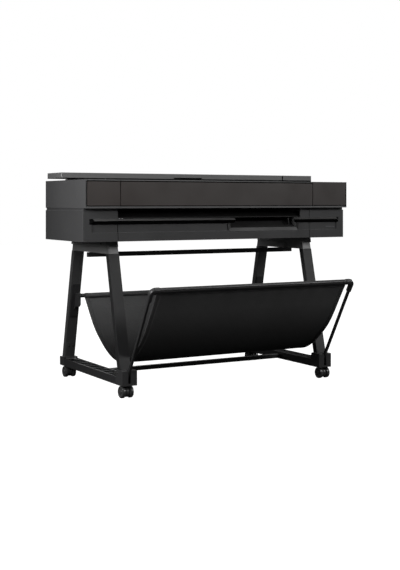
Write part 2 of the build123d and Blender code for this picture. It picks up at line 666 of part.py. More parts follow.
def roll_cover():
    """Lid over the roll bay, hinged at the rear, with a finger recess in its front edge."""
    y0 = back(COVER_FRONT_BACK)
    y1 = back(COVER_REAR_BACK)
    cover = raised_shell(COVER_LEFT, COVER_RIGHT, y0, y1, COVER_BOTTOM, -1)
    finger = COVER_LEFT - COVER_INSET + FINGER_LEFT
    cover -= block(
        finger, finger + FINGER_WIDTH, y0 - 1, y0 + WALL + 1,
        COVER_BOTTOM - 1, COVER_BOTTOM + FINGER_HEIGHT)
    for x in cover_hinge_places():
        lug = block(
            x + 12.5, x + 22, COVER_HINGE_Y - 5, y1 - WALL + 1, COVER_HINGE_Z, COVER_TOP - WALL + 1)
        lug += rod_x(x + 12.5, x + 22, COVER_HINGE_Y, COVER_HINGE_Z, 5.0)
        cover += lug
        cover -= rod_x(x + 11, x + 26, COVER_HINGE_Y, COVER_HINGE_Z, HINGE_PIN_R + RUN_CLEARANCE)
        cover -= block(x - 1, x + 12.5, y1 - WALL - 1, y1 + 1, COVER_BOTTOM - 1, COVER_HINGE_Z + 7)
    return cover


def screen_box(grow, depth):
    """Room of the touch screen in the control panel's top."""
    x = (CONTROL_LEFT + CONTROL_RIGHT) / 2 - 14.0
    y = (back(COVER_FRONT_BACK) + back(COVER_REAR_BACK)) / 2
    dx = SCREEN_WIDTH / 2 + grow
    dy = SCREEN_DEPTH / 2 + grow
    return block(x - dx, x + dx, y - dy, y + dy, COVER_TOP - depth, COVER_TOP)


def button_place():
    return CONTROL_RIGHT - 20.0, (back(COVER_FRONT_BACK) + back(COVER_REAR_BACK)) / 2


def control_skirt():
    """Lower edge of the control panel's right wall, which closes the gap above the housing."""
    y0 = back(COVER_FRONT_BACK)
    y1 = back(COVER_REAR_BACK)
    skirt = block(CONTROL_LEFT, CONTROL_RIGHT, y0, y1, COVER_BOTTOM - CONTROL_SKIRT, COVER_BOTTOM)
    skirt = fillet(skirt.edges().filter_by(Axis.Z).sort_by(Axis.X)[-2:], COVER_CORNER)
    inner = CONTROL_RIGHT - CONTROL_SKIRT_WIDTH
    return skirt & block(inner, CONTROL_RIGHT, y0, y1, COVER_BOTTOM - CONTROL_SKIRT, COVER_BOTTOM)


def control_panel():
    """Tilting panel at the right rear: rises at the rear edge, turning about its front edge."""
    shell = raised_shell(
        CONTROL_LEFT, CONTROL_RIGHT, back(COVER_FRONT_BACK), back(COVER_REAR_BACK), COVER_BOTTOM, 1)
    shell += control_skirt()
    plate_low = COVER_TOP - WALL - 3.0
    x, y = button_place()
    shell += block(
        CONTROL_LEFT + 1, CONTROL_RIGHT - 1, y - SCREEN_DEPTH / 2 - 6, y + SCREEN_DEPTH / 2 + 6,
        plate_low, COVER_TOP - WALL + 0.5)
    shell -= screen_box(0.2, SCREEN_THICKNESS)
    shell -= rod_z(x, y, plate_low - 1, COVER_TOP + 1, BUTTON_R + 0.3)
    shell += rod_z(x, y, plate_low - 2.0, plate_low, BUTTON_R + 4.0)
    for hinge_x in control_hinge_places():
        lug = block(
            hinge_x + 8.5, hinge_x + 16, CONTROL_HINGE_Y - 5.5, CONTROL_HINGE_Y + 4,
            CONTROL_HINGE_Z, COVER_TOP - WALL + 0.5)
        lug += rod_x(hinge_x + 8.5, hinge_x + 16, CONTROL_HINGE_Y, CONTROL_HINGE_Z, 5.0)
        shell += lug
        shell -= rod_x(
            hinge_x + 7, hinge_x + 20, CONTROL_HINGE_Y,
            CONTROL_HINGE_Z, HINGE_PIN_R + RUN_CLEARANCE)
    return shell


def touch_screen():
    return screen_box(0.0, SCREEN_THICKNESS)


def power_button():
    """Round push button with its cap just proud of the panel."""
    x, y = button_place()
    floor = COVER_TOP - WALL - 3.0
    button = rod_z(x, y, floor + BUTTON_TRAVEL + 0.3, COVER_TOP, BUTTON_R)
    return fillet(button.edges().sort_by(Axis.Z)[-1], 0.8)


# ---------------------------------------------------------------- print engine
def side_plate(x):
    """Upright steel plate that carries platen, rollers, beam and spindle."""
    floor = STAND_HEIGHT + PAN_THICKNESS
    front = PLATEN_FRONT + 3.0
    step = BEAM_FRONT + BEAM_DEPTH
    outline = [
        (front, floor), (front, UPPER_BOTTOM - 4), (step, UPPER_BOTTOM - 4), (step, BODY_TOP - 6),
        (REAR - 8, BODY_TOP - 6), (REAR - 8, floor)]
    plate = prism_x(outline, x, x + PLATE_THICKNESS)
    x0, x1 = x - 1, x + PLATE_THICKNESS + 1
    notch = SPINDLE_R + RUN_CLEARANCE
    plate -= rod_x(x0, x1, SPINDLE_Y, SPINDLE_Z, notch)
    plate -= block(x0, x1, SPINDLE_Y - notch, SPINDLE_Y + notch, SPINDLE_Z, BODY_TOP)
    plate -= rod_x(x0, x1, FEED_Y, FEED_Z, FEED_SHAFT_R + RUN_CLEARANCE)
    return plate - rod_x(x0, x1, FEED_Y, PINCH_Z, PINCH_SHAFT_R + RUN_CLEARANCE)


def side_plates():
    return group([side_plate(PLATE_LEFT - PLATE_THICKNESS), side_plate(PLATE_RIGHT)])


def platen():
    """Flat bed under the paper with a bent-down front edge and a groove for the cutter."""
    top = PLATEN_TOP
    low = STAND_HEIGHT + RAIL_TOP + 1.0
    y0 = PLATEN_FRONT
    bed = [
        (y0, low), (y0, low + 4), (y0 + 26, top), (PLATEN_REAR, top),
        (PLATEN_REAR, top - PLATEN_THICKNESS), (y0 + 30, top - PLATEN_THICKNESS), (y0 + 9, low)]
    plate = prism_x(bed, PLATE_LEFT + 0.5, PLATE_RIGHT - 0.5)
    groove = cutter_groove()
    return plate - block(PLATE_LEFT, PLATE_RIGHT, groove[0], groove[1], top - 4, top + 1)


def cutter_groove():
    start = PLATEN_FRONT + 36.0
    return start, start + 6.0


def cutter():
    """Rotary blade holder that slides across the platen in its groove."""
    x0 = PLATE_LEFT + 8.0
    x1 = x0 + CUTTER_WIDTH
    y0, y1 = cutter_groove()
    body = block(x0, x1, y0 - 10, y1 + 6, PLATEN_TOP + 0.3, PLATEN_TOP + 15)
    body += block(x0, x1, y0 + 0.1, y1 - 0.1, PLATEN_TOP - 3.7, PLATEN_TOP + 1)
    return body + rod_y((x0 + x1) / 2, y0 - 13, y0 - 9, PLATEN_TOP + 9, 7.0)


def feed_roller():
    """Driven roller behind the platen, with its shaft ends in the side plates."""
    roller = rod_x(PLATE_LEFT + 4, PLATE_RIGHT - 4, FEED_Y, FEED_Z, FEED_R)
    return roller + rod_x(
        PLATE_LEFT - PLATE_THICKNESS - 3, PLATE_RIGHT + PLATE_THICKNESS + 3,
        FEED_Y, FEED_Z, FEED_SHAFT_R)


def pinch_rollers():
    """Row of pressing rollers on one shaft above the feed roller."""
    shaft = rod_x(
        PLATE_LEFT - PLATE_THICKNESS - 3, PLATE_RIGHT + PLATE_THICKNESS + 3,
        FEED_Y, PINCH_Z, PINCH_SHAFT_R)
    span = PLATE_RIGHT - PLATE_LEFT
    pitch = span / PINCH_COUNT
    for i in range(PINCH_COUNT):
        x = PLATE_LEFT + pitch * (i + 0.5)
        shaft += rod_x(x - 18, x + 18, FEED_Y, PINCH_Z, PINCH_R)
    return shaft


def carriage_beam():
    """Hollow beam with end plates that hold the guide rod."""
    x0 = -HALF + 10.5
    x1 = PARK_X + CARRIAGE_WIDTH / 2 + 5.0
    y1 = BEAM_FRONT + BEAM_DEPTH
    beam = block(x0, x1, BEAM_FRONT, y1, BEAM_BOTTOM, BEAM_TOP)
    beam -= block(
        x0 - 1, x1 + 1, BEAM_FRONT + BEAM_WALL, y1 - BEAM_WALL,
        BEAM_BOTTOM + BEAM_WALL, BEAM_TOP - BEAM_WALL)
    for x in (x0, x1 - 4):
        beam += block(x, x + 4, ROD_Y - 12, y1, ROD_Z - 12, BEAM_TOP)
        beam -= rod_x(x - 1, x + 5, ROD_Y, ROD_Z, ROD_R)
    for x in (PULLEY_LEFT, PULLEY_RIGHT):
        beam -= rod_y(x, BEAM_FRONT - 1, y1 + 1, PULLEY_Z, PULLEY_SHAFT_R + RUN_CLEARANCE)
    return beam


def guide_rod():
    x0 = -HALF + 10.5
    return rod_x(x0 - 1, PARK_X + CARRIAGE_WIDTH / 2 + 6.0, ROD_Y, ROD_Z, ROD_R)


def carriage():
    """Print carriage on the guide rod: shell, four printhead blocks and the belt clamp."""
    x0 = PARK_X - CARRIAGE_WIDTH / 2
    x1 = PARK_X + CARRIAGE_WIDTH / 2
    y1 = PULLEY_Y - BELT_WIDTH / 2 - 2.0
    y0 = y1 - CARRIAGE_DEPTH
    z0 = UPPER_BOTTOM + CARRIAGE_LIFT
    body = block(x0, x1, y0, y1, z0, z0 + CARRIAGE_HEIGHT)
    body = chamfer(body.edges().filter_by(Axis.X).group_by(Axis.Y)[0], 8.0)
    head_width = (CARRIAGE_WIDTH - 20) / 4
    for i in range(4):
        x = x0 + 10 + head_width * i
        body -= block(
            x + 1.5, x + head_width - 1.5, y0 + 16, y1 - 34, z0 + CARRIAGE_HEIGHT - 6, BODY_TOP)
        body += block(x + 3, x + head_width - 3, y0 + 20, y1 - 38, z0 - 1.5, z0 + 1)
    run = PULLEY_Z - PULLEY_R - PULLEY_CLEARANCE - BELT_THICKNESS
    clamp = block(
        PARK_X - 10, PARK_X + 10, y1 - 1, PULLEY_Y + BELT_WIDTH / 2 + 1,
        run - 4, run + BELT_THICKNESS + 4)
    clamp -= block(
        PARK_X - 11, PARK_X + 11, y1 + 1.2, PULLEY_Y + BELT_WIDTH,
        run - 0.5, run + BELT_THICKNESS + 0.5)
    body += clamp
    return body - rod_x(x0 - 1, x1 + 1, ROD_Y, ROD_Z, ROD_R + RUN_CLEARANCE)


def belt_loop(x0, x1, radius, y0, y1):
    """Solid with the outline of a belt laid round two pulleys."""
    loop = block(x0, x1, y0, y1, PULLEY_Z - radius, PULLEY_Z + radius)
    return loop + rod_y(x0, y0, y1, PULLEY_Z, radius) + rod_y(x1, y0, y1, PULLEY_Z, radius)


def drive_belt():
    inner = PULLEY_R + PULLEY_CLEARANCE
    y0 = PULLEY_Y - BELT_WIDTH / 2
    y1 = PULLEY_Y + BELT_WIDTH / 2
    outer = belt_loop(PULLEY_LEFT, PULLEY_RIGHT, inner + BELT_THICKNESS, y0, y1)
    return outer - belt_loop(PULLEY_LEFT, PULLEY_RIGHT, inner, y0 - 1, y1 + 1)


def pulley(x, shaft_end):
    """Toothless drive pulley with its shaft running back into the beam."""
    wheel = rod_y(x, PULLEY_Y - BELT_WIDTH / 2, PULLEY_Y + BELT_WIDTH / 2, PULLEY_Z, PULLEY_R)
    return wheel + rod_y(x, PULLEY_Y, shaft_end, PULLEY_Z, PULLEY_SHAFT_R)


def drive_pulley():
    return pulley(PULLEY_RIGHT, BEAM_FRONT + BEAM_DEPTH + 12)


def idler_pulley():
    return pulley(PULLEY_LEFT, BEAM_FRONT + BEAM_DEPTH - 6)


def drive_motors():
    """Carriage motor behind the beam and paper motor beside the left plate."""
    y0 = BEAM_FRONT + BEAM_DEPTH
    half = MOTOR_SIZE / 2
    first = block(
        PULLEY_RIGHT - half, PULLEY_RIGHT + half, y0,
        y0 + MOTOR_LENGTH, PULLEY_Z - half, PULLEY_Z + half)
    first -= rod_y(PULLEY_RIGHT, y0 - 1, y0 + 16, PULLEY_Z, PULLEY_SHAFT_R + RUN_CLEARANCE)
    x1 = PLATE_LEFT - PLATE_THICKNESS
    second = block(
        x1 - MOTOR_LENGTH, x1, FEED_Y - half, FEED_Y + half, FEED_Z - half, FEED_Z + half)
    second -= rod_x(x1 - 8, x1 + 1, FEED_Y, FEED_Z, FEED_SHAFT_R + RUN_CLEARANCE)
    second -= rod_x(x1 - 8, x1 + 1, FEED_Y, PINCH_Z, PINCH_SHAFT_R + 1.0)
    return group([first, second])


def roll_spindle():
    return rod_x(BAY_LEFT + 8, BAY_RIGHT - 8, SPINDLE_Y, SPINDLE_Z, SPINDLE_R)


def hub(x_flange, direction):
    """Roll hub: flange and plug that fits the roll's core."""
    flange = rod_x(x_flange, x_flange + direction * 8, SPINDLE_Y, SPINDLE_Z, HUB_R)
    plug = rod_x(x_flange, x_flange + direction * 40, SPINDLE_Y, SPINDLE_Z, HUB_PLUG_R)
    return flange + plug - rod_x(x_flange - 50, x_flange + 50, SPINDLE_Y, SPINDLE_Z, SPINDLE_R)


def spindle_hubs():
    return group([hub(PLATE_LEFT + 6, 1), hub(PLATE_RIGHT - 6, -1)])


def service_station():
    """Cleaning and capping unit under the parked carriage."""
    x0 = PLATE_RIGHT + PLATE_THICKNESS + 6
    x1 = PARK_X + CARRIAGE_WIDTH / 2
    y0 = PLATEN_FRONT + 4
    y1 = y0 + 92
    top = UPPER_BOTTOM - 6
    unit = block(x0, x1, y0, y1, STAND_HEIGHT + PAN_THICKNESS, top)
    unit -= block(x0 + 6, x1 - 6, y0 + 6, y1 - 6, top - 8, top + 1)
    for i in range(4):
        x = PARK_X - CARRIAGE_WIDTH / 2 + 14 + i * (CARRIAGE_WIDTH - 20) / 4
        unit += block(x, x + 15, y0 + 22, y1 - 30, top - 9, top - 2)
    return unit


def ink_cartridges():
    """Row of cartridges behind the ink door."""
    pitch = CARTRIDGE_WIDTH + CARTRIDGE_GAP
    solids = []
    for i in range(CARTRIDGE_COUNT):
        x = CARTRIDGE_LEFT + pitch * i
        y0 = DOOR_HINGE_Y + 16
        body = block(x, x + CARTRIDGE_WIDTH, y0, y0 + 122, UPPER_BOTTOM + 10, UPPER_BOTTOM + 96)
        body += block(
            x + 3, x + CARTRIDGE_WIDTH - 3, y0 - 5, y0 + 1, UPPER_BOTTOM + 40, UPPER_BOTTOM + 66)
        solids.append(body)
    return group(solids)


def electronics_box():
    """Steel case with the power supply and the main board, beside the left plate."""
    floor = STAND_HEIGHT + PAN_THICKNESS
    x1 = PLATE_LEFT - PLATE_THICKNESS - 12
    case = block(-HALF + 14, x1, FEED_Y + 34, REAR - 30, floor, LOWER_TOP - 8)
    slots = [
        block(
            -HALF + 24, x1 - 10, FEED_Y + 48 + 14 * i,
            FEED_Y + 53 + 14 * i, LOWER_TOP - 12, LOWER_TOP)
        for i in range(9)
    ]
    return case - slots


def inlet_place():
    return -HALF + 62.0, STAND_HEIGHT + 50.0


def inlet_socket():
    """Mains inlet set into the rear wall at the left end."""
    x, z = inlet_place()
    dx = INLET_WIDTH / 2
    dz = INLET_HEIGHT / 2
    body = block(x - dx, x + dx, REAR - 28, REAR + 2, z - dz, z + dz)
    body -= block(x - dx + WALL, x + dx - WALL, REAR - 16, REAR + 3, z - dz + 2.5, z + dz - 2.5)
    for pin_x, pin_z in ((x - 7, z + 2), (x, z - 2), (x + 7, z + 2)):
        body += block(pin_x - 1, pin_x + 1, REAR - 17, REAR - 2, pin_z - 2, pin_z + 2)
    return body


def sheet_guide():
    """Edge guide that slides across the scoop to the width of a cut sheet."""
    slope = math.atan2(SCOOP_THROAT - SCOOP_STRIP, SCOOP_DEPTH + 1 - SCOOP_STRIP_BACK)
    rise = math.tan(slope)
    y0 = LOWER_FRONT + 12.0
    y1 = LOWER_FRONT + 34.0
    z0 = STAND_HEIGHT + SCOOP_STRIP + rise * (y0 - LOWER_FRONT - SCOOP_STRIP_BACK) + 1.0
    z1 = z0 + rise * (y1 - y0)
    x1 = HALF - SCOOP_RIGHT - SCOOP_CHEEK - 14.0
    foot = prism_x([(y0, z0), (y1, z1), (y1, z1 + 2.5), (y0, z0 + 2.5)], x1 - 26, x1)
    fence_top = STAND_HEIGHT + RAIL_TOP - 2.0
    return foot + prism_x([(y0, z0), (y1, z1), (y1, fence_top), (y0 + 8, fence_top)], x1 - 3, x1)


# ---------------------------------------------------------------- stand
def leg_line(z, foot_back, top_back):
    """Y of a leaning leg's middle at height z."""
    share = (z - FOOT_TOP) / (LEG_TOP - FOOT_TOP)
    return back(foot_back + share * (top_back - foot_back))


def leg(side, foot_back, top_back, z0):
    """Rectangular tube leaning in the side plane."""
    half = LEG_DEPTH / 2
    low = leg_line(z0, foot_back, top_back)
    high = leg_line(LEG_TOP, foot_back, top_back)
    outline = [(low - half, z0), (low + half, z0), (high + half, LEG_TOP), (high - half, LEG_TOP)]
    return prism_x(outline, side * LEG_IN, side * LEG_OUT)


def front_leg(side):
    return leg(side, FRONT_LEG_FOOT_BACK, FRONT_LEG_TOP_BACK, FOOT_TOP)


def rear_leg(side):
    return leg(side, REAR_LEG_FOOT_BACK, REAR_LEG_TOP_BACK, FOOT_TOP)


def rear_leg_front(z):
    """Y of a rear leg's front face at height z."""
    return leg_line(z, REAR_LEG_FOOT_BACK, REAR_LEG_TOP_BACK) - LEG_DEPTH / 2


def rear_angle(side):
    """Bent plate that holds a rear leg to its foot: up the leg, over the cap and along the foot."""
    t = ANGLE_THICKNESS
    cap = FOOT_REAR - REAR_CAP_LENGTH
    outline = [
        (rear_leg_front(ANGLE_TOP), ANGLE_TOP),
        (rear_leg_front(REAR_CAP_TOP), REAR_CAP_TOP), (cap, REAR_CAP_TOP),
        (cap, FOOT_TOP), (cap - ANGLE_REACH, FOOT_TOP),
        (cap - ANGLE_REACH, FOOT_TOP + t), (cap - t, FOOT_TOP + t),
        (cap - t, REAR_CAP_TOP + t), (rear_leg_front(REAR_CAP_TOP + t) - t, REAR_CAP_TOP + t),
        (rear_leg_front(ANGLE_TOP) - t, ANGLE_TOP)]
    return prism_x(outline, side * (LEG_IN + ANGLE_INSET), side * (LEG_OUT - ANGLE_INSET))


def rear_legs():
    return group([rear_leg(-1), rear_leg(1), rear_angle(-1), rear_angle(1)])


def foot_beam(side):
    """Long foot with a ribbed recess in its top, between the two end caps."""
    y0 = FOOT_FRONT + FRONT_CAP_LENGTH
    y1 = FOOT_REAR - REAR_CAP_LENGTH
    beam = block_side(side, FOOT_INNER, FOOT_OUTER, y0, y1, FOOT_BOTTOM, FOOT_TOP)
    wall = 5.0
    count = int((y1 - y0 - wall) // FOOT_RIB_PITCH)
    pitch = (y1 - y0 - wall) / count
    for i in range(count):
        start = y0 + wall + pitch * i
        beam -= block_side(
            side, FOOT_INNER + wall, FOOT_OUTER - wall, start, start + pitch - FOOT_RIB,
            FOOT_TOP - FOOT_POCKET_DEPTH, FOOT_TOP + 1)
    return beam


def stem_bore(side, y):
    return rod_z(
        side * CASTER_X, y, FOOT_BOTTOM - 1, FOOT_BOTTOM + STEM_LENGTH + 1, STEM_R + RUN_CLEARANCE)


def front_cap(side):
    """Front end of a foot: socket of the front leg, slot of the basket arm and caster bore."""
    y0 = FOOT_FRONT
    y1 = FOOT_FRONT + FRONT_CAP_LENGTH
    outline = [
        (y0, FOOT_BOTTOM), (y1, FOOT_BOTTOM), (y1, FOOT_TOP), (y1 - 5, FRONT_CAP_TOP - 3),
        (y1 - 8, FRONT_CAP_TOP), (y0 + 2, FRONT_CAP_TOP), (y0, FRONT_CAP_TOP - 2)]
    cap = prism_x(outline, side * FOOT_INNER, side * FOOT_OUTER)
    cap -= block_side(
        side, ARM_X - SLOT_WIDTH / 2, ARM_X + SLOT_WIDTH / 2, y0 - 1,
        y0 + SLOT_DEPTH, SLOT_BOTTOM, FRONT_CAP_TOP + 1)
    cap -= front_leg(side)
    cap -= rod_x(side * (FOOT_INNER + 6), side * (FOOT_OUTER - 6), PIVOT_Y, PIVOT_HEIGHT, PIVOT_R)
    return cap - stem_bore(side, back(FRONT_LEG_FOOT_BACK))


def rear_cap(side):
    """Rear end of a foot: socket of the rear leg and caster bore."""
    y0 = FOOT_REAR - REAR_CAP_LENGTH
    cap = block_side(side, FOOT_INNER, FOOT_OUTER, y0, FOOT_REAR, FOOT_BOTTOM, REAR_CAP_TOP)
    cap = fillet(cap.edges().filter_by(Axis.X).group_by(Axis.Y)[-1], 4.0)
    cap -= rear_leg(side)
    return cap - stem_bore(side, back(REAR_LEG_FOOT_BACK))


def foot_end_caps():
    return group([front_cap(-1), front_cap(1), rear_cap(-1), rear_cap(1)])


def top_bracket(side):
    """Bracket on the leg tops: proud upper bar and recessed lower bar."""
    half = LEG_DEPTH / 2
    y0 = leg_line(LEG_TOP, FRONT_LEG_FOOT_BACK, FRONT_LEG_TOP_BACK) - half
    y1 = leg_line(LEG_TOP, REAR_LEG_FOOT_BACK, REAR_LEG_TOP_BACK) + half
    lean_front = (FRONT_LEG_TOP_BACK - FRONT_LEG_FOOT_BACK) / (LEG_TOP - FOOT_TOP)
    lean_rear = (REAR_LEG_FOOT_BACK - REAR_LEG_TOP_BACK) / (LEG_TOP - FOOT_TOP)
    rise = BRACKET_HEIGHT - BRACKET_STEP
    upper = [
        (y0 + lean_front * rise, LEG_TOP + rise), (y1 - lean_rear * rise, LEG_TOP + rise),
        (y1 - lean_rear * BRACKET_HEIGHT, STAND_HEIGHT),
        (y0 + lean_front * BRACKET_HEIGHT, STAND_HEIGHT)]
    lower = [
        (y0, LEG_TOP), (y1, LEG_TOP),
        (y1 - lean_rear * rise, LEG_TOP + rise), (y0 + lean_front * rise, LEG_TOP + rise)]
    bracket = prism_x(upper, side * LEG_IN, side * FOOT_OUTER)
    bracket += prism_x(lower, side * (LEG_IN + 2), side * (LEG_OUT - BRACKET_RECESS + 3))
    bar = back(CROSSBAR_BACK) + CROSSBAR_DEPTH / 2
    return bracket + block_side(
        side, LEG_IN - BAR_MOUNT_OUT, LEG_IN + 3,
        bar - BAR_MOUNT_LENGTH / 2, bar + BAR_MOUNT_LENGTH / 2,
        LEG_TOP, LEG_TOP + rise)


def crossbars():
    """Upper bar under the brackets and lower bar between the feet."""
    end = HALF - CROSSBAR_INSET
    y0 = back(CROSSBAR_BACK)
    upper = block(-end, end, y0, y0 + CROSSBAR_DEPTH, LEG_TOP - CROSSBAR_HEIGHT, LEG_TOP)
    y0 = back(LOWER_BAR_BACK)
    lower = block(
        -FOOT_INNER, FOOT_INNER, y0, y0 + LOWER_BAR_DEPTH,
        LOWER_BAR_BOTTOM, LOWER_BAR_BOTTOM + LOWER_BAR_HEIGHT)
    for side in (-1, 1):
        lower += block_side(
            side, FOOT_INNER - BAR_FLANGE, FOOT_INNER,
            y0 - BAR_FLANGE_EDGE, y0 + LOWER_BAR_DEPTH + BAR_FLANGE_EDGE,
            LOWER_BAR_BOTTOM, LOWER_BAR_BOTTOM + LOWER_BAR_HEIGHT)
    return group([upper, lower])


# ---------------------------------------------------------------- basket
def arm_place(side):
    """Frame of a basket arm: origin at its pivot, local Z along the arm."""
    return Pos(side * ARM_X, PIVOT_Y, PIVOT_HEIGHT) * Rot(ARM_LEAN, 0, 0)


def arm_shape(side):
    """Grooved flat tube from the foot's slot to the elbow."""
    end = ARM_LENGTH - FRONT_TUBE_R - 4.0
    arm = Pos(0, 0, end / 2) * Box(ARM_WIDTH, ARM_DEPTH, end)
    arm += Rot(0, 90, 0) * Cylinder(ARM_DEPTH / 2, ARM_WIDTH)
    for face in (-1, 1):
        arm -= Pos(0, face * ARM_DEPTH / 2, (end + ARM_GROOVE_START) / 2) * Box(
            ARM_GROOVE_WIDTH, 2 * ARM_GROOVE_DEPTH, end - ARM_GROOVE_START)
    arm -= Rot(0, 90, 0) * Cylinder(PIVOT_R + RUN_CLEARANCE, ARM_WIDTH + 2)
    return arm_place(side) * arm


def front_tube_shape():
    end = ARM_X - ARM_WIDTH / 2 - 1.0
    return rod_x(-end, end, FRONT_TUBE_Y, FRONT_TUBE_HEIGHT, FRONT_TUBE_R)


def elbow(side):
    """Corner piece that joins an arm to the front tube."""
    outer = ARM_X + ARM_WIDTH / 2 + ELBOW_OUT
    sleeve = rod_x(
        side * (outer - ELBOW_SIDE), side * outer, FRONT_TUBE_Y, FRONT_TUBE_HEIGHT, ELBOW_R)
    down = Pos(0, 0, ARM_LENGTH - ELBOW_DOWN / 2) * Box(
        ARM_WIDTH + 2 * ELBOW_WALL, ARM_DEPTH + 2 * ELBOW_WALL, ELBOW_DOWN)
    piece = sleeve + arm_place(side) * down
    return piece - front_tube_shape() - arm_shape(side)


def rear_tube():
    end = ARM_X + CLAMP_WIDTH / 2 + 2.0
    return rod_x(-end, end, REAR_TUBE_Y, REAR_TUBE_HEIGHT, REAR_TUBE_R)


def rear_clamp(side):
    """Plate on the rear leg with an arm and a ring round the rear tube."""
    z0 = REAR_TUBE_HEIGHT - 99.0
    z1 = REAR_TUBE_HEIGHT + 51.0
    low = rear_leg_front(z0)
    high = rear_leg_front(z1)
    plate = prism_x(
        [(low - 5, z0), (low, z0), (high, z1), (high - 5, z1)],
        side * (LEG_IN + 4), side * (LEG_OUT - 4))
    x0 = side * (ARM_X - CLAMP_WIDTH / 2)
    x1 = side * (ARM_X + CLAMP_WIDTH / 2)
    top = REAR_TUBE_HEIGHT + 9.0
    foot = REAR_TUBE_HEIGHT - CLAMP_DROP
    web = [
        (REAR_TUBE_Y, top), (rear_leg_front(top) - 3, top),
        (rear_leg_front(foot - 22) - 3, foot - 22),
        (rear_leg_front(foot) - 12, foot - 6),
        (rear_leg_front(foot) - 20, foot), (REAR_TUBE_Y, foot),
        (REAR_TUBE_Y - 10, foot + 10), (REAR_TUBE_Y - 10, REAR_TUBE_HEIGHT)]
    plate += prism_x(web, x0, x1)
    plate += rod_x(x0, x1, REAR_TUBE_Y, REAR_TUBE_HEIGHT, CLAMP_R)
    return plate - rear_tube()


def basket_line():
    """Side outline of the hanging fabric, from the front tube to the rear tube."""
    gap = FRONT_TUBE_R + FABRIC_CLEARANCE + FABRIC_THICKNESS / 2
    rear_gap = REAR_TUBE_R + FABRIC_CLEARANCE + FABRIC_THICKNESS / 2
    start_y = FRONT_TUBE_Y + gap * math.sin(math.radians(ARM_LEAN))
    start_z = FRONT_TUBE_HEIGHT - gap * math.cos(math.radians(ARM_LEAN))
    low = BASKET_LOW
    mid = (FRONT_TUBE_Y + REAR_TUBE_Y) / 2
    return Spline(
        (0, start_y, start_z),
        (0, start_y + FRONT_KNOT[0] * (mid - start_y), low + FRONT_KNOT[1] * (start_z - low)),
        (0, mid - LOW_LEAD, low),
        (0, mid + REAR_KNOT[0] * (REAR_TUBE_Y - mid), low + REAR_KNOT[1] * (REAR_TUBE_HEIGHT - low)),
        (0, REAR_TUBE_Y, REAR_TUBE_HEIGHT - rear_gap))


def basket_fabric():
    """Hanging sheet between the two tubes, with an even thickness."""
    line = basket_line()
    inside = []
    outside = []
    steps = 12
    for i in range(steps + 1):
        point = line.position_at(i / steps)
        tangent = line.tangent_at(i / steps)
        normal = Vector(0, -tangent.Z, tangent.Y) * (FABRIC_THICKNESS / 2)
        inside.append(point + normal)
        outside.append(point - normal)
    near = Spline(*inside)
    far = Spline(*outside)
    face = make_face([near, Line(inside[-1], outside[-1]), far, Line(outside[0], inside[0])])
    sheet = extrude(face, amount=FABRIC_HALF * 2, dir=(1, 0, 0))
    return Pos(-FABRIC_HALF, 0, 0) * sheet


# ---------------------------------------------------------------- casters
def caster_horn(side, y):
    """Swivelling body of a twin-wheel caster, with its stem."""
    x = side * CASTER_X
    wheel_y = y - TRAIL
    top = FOOT_BOTTOM - CASTER_CLEARANCE
    body = rod_x(x - HORN_WIDTH / 2, x + HORN_WIDTH / 2, wheel_y, WHEEL_R, WHEEL_R - 4)
    body += block(x - HORN_WIDTH / 2, x + HORN_WIDTH / 2, wheel_y, y + 8, WHEEL_R + 2, top)
    body += rod_z(x, y, top - 6, FOOT_BOTTOM + STEM_LENGTH, STEM_R)
    return body - rod_x(x - 20, x + 20, wheel_y, WHEEL_R, AXLE_R + RUN_CLEARANCE)


def caster_wheels(side, y):
    """Two wheels and their axle."""
    x = side * CASTER_X
    wheel_y = y - TRAIL
    solids = [rod_x(x - WHEEL_GAP / 2, x + WHEEL_GAP / 2, wheel_y, WHEEL_R, AXLE_R)]
    for direction in (-1, 1):
        inner = x + direction * WHEEL_GAP / 2
        outer = inner + direction * WHEEL_WIDTH
        wheel = rod_x(inner, outer, wheel_y, WHEEL_R, WHEEL_R)
        wheel = fillet(wheel.edges().filter_by(GeomType.CIRCLE), 2.5)
        wheel -= rod_x(outer - direction * 3, outer + direction, wheel_y, WHEEL_R, WHEEL_R - 9)
        solids.append(wheel)
    return group(solids)


# ---------------------------------------------------------------- fasteners
def screws():
    """Visible screw heads on the stand and the arm pivots in the front caps."""
    solids = []
    for side in (-1, 1):
        pin_start = side * (FOOT_INNER + PIN_INSET)
        pin_end = side * (FOOT_OUTER - PIN_INSET)
        solids.append(rod_x(pin_start, pin_end, PIVOT_Y, PIVOT_HEIGHT, PIVOT_R))
        face = side * FOOT_OUTER
        head_end = face + side * HEAD_HEIGHT
        cap_y = FOOT_FRONT + CAP_SCREW_BACK
        solids.append(rod_x(face, head_end, cap_y, FRONT_CAP_TOP - CAP_SCREW_DROP, SMALL_HEAD_R))
        at = rear_leg_front(ANGLE_SCREW_Z) - ANGLE_THICKNESS
        for offset in (-ANGLE_SCREW_SPREAD, ANGLE_SCREW_SPREAD):
            x = side * (LEG_IN + LEG_OUT) / 2 + offset
            head = rod_y(x, at - 2.4, at + 1.5, ANGLE_SCREW_Z, SMALL_HEAD_R)
            solids.append(head - rear_angle(side) - rear_leg(side))
        bracket_z = STAND_HEIGHT - BRACKET_STEP / 2
        for place in BRACKET_SCREWS_BACK:
            solids.append(rod_x(face, head_end, back(place), bracket_z, BRACKET_HEAD_R))
    return group(solids)


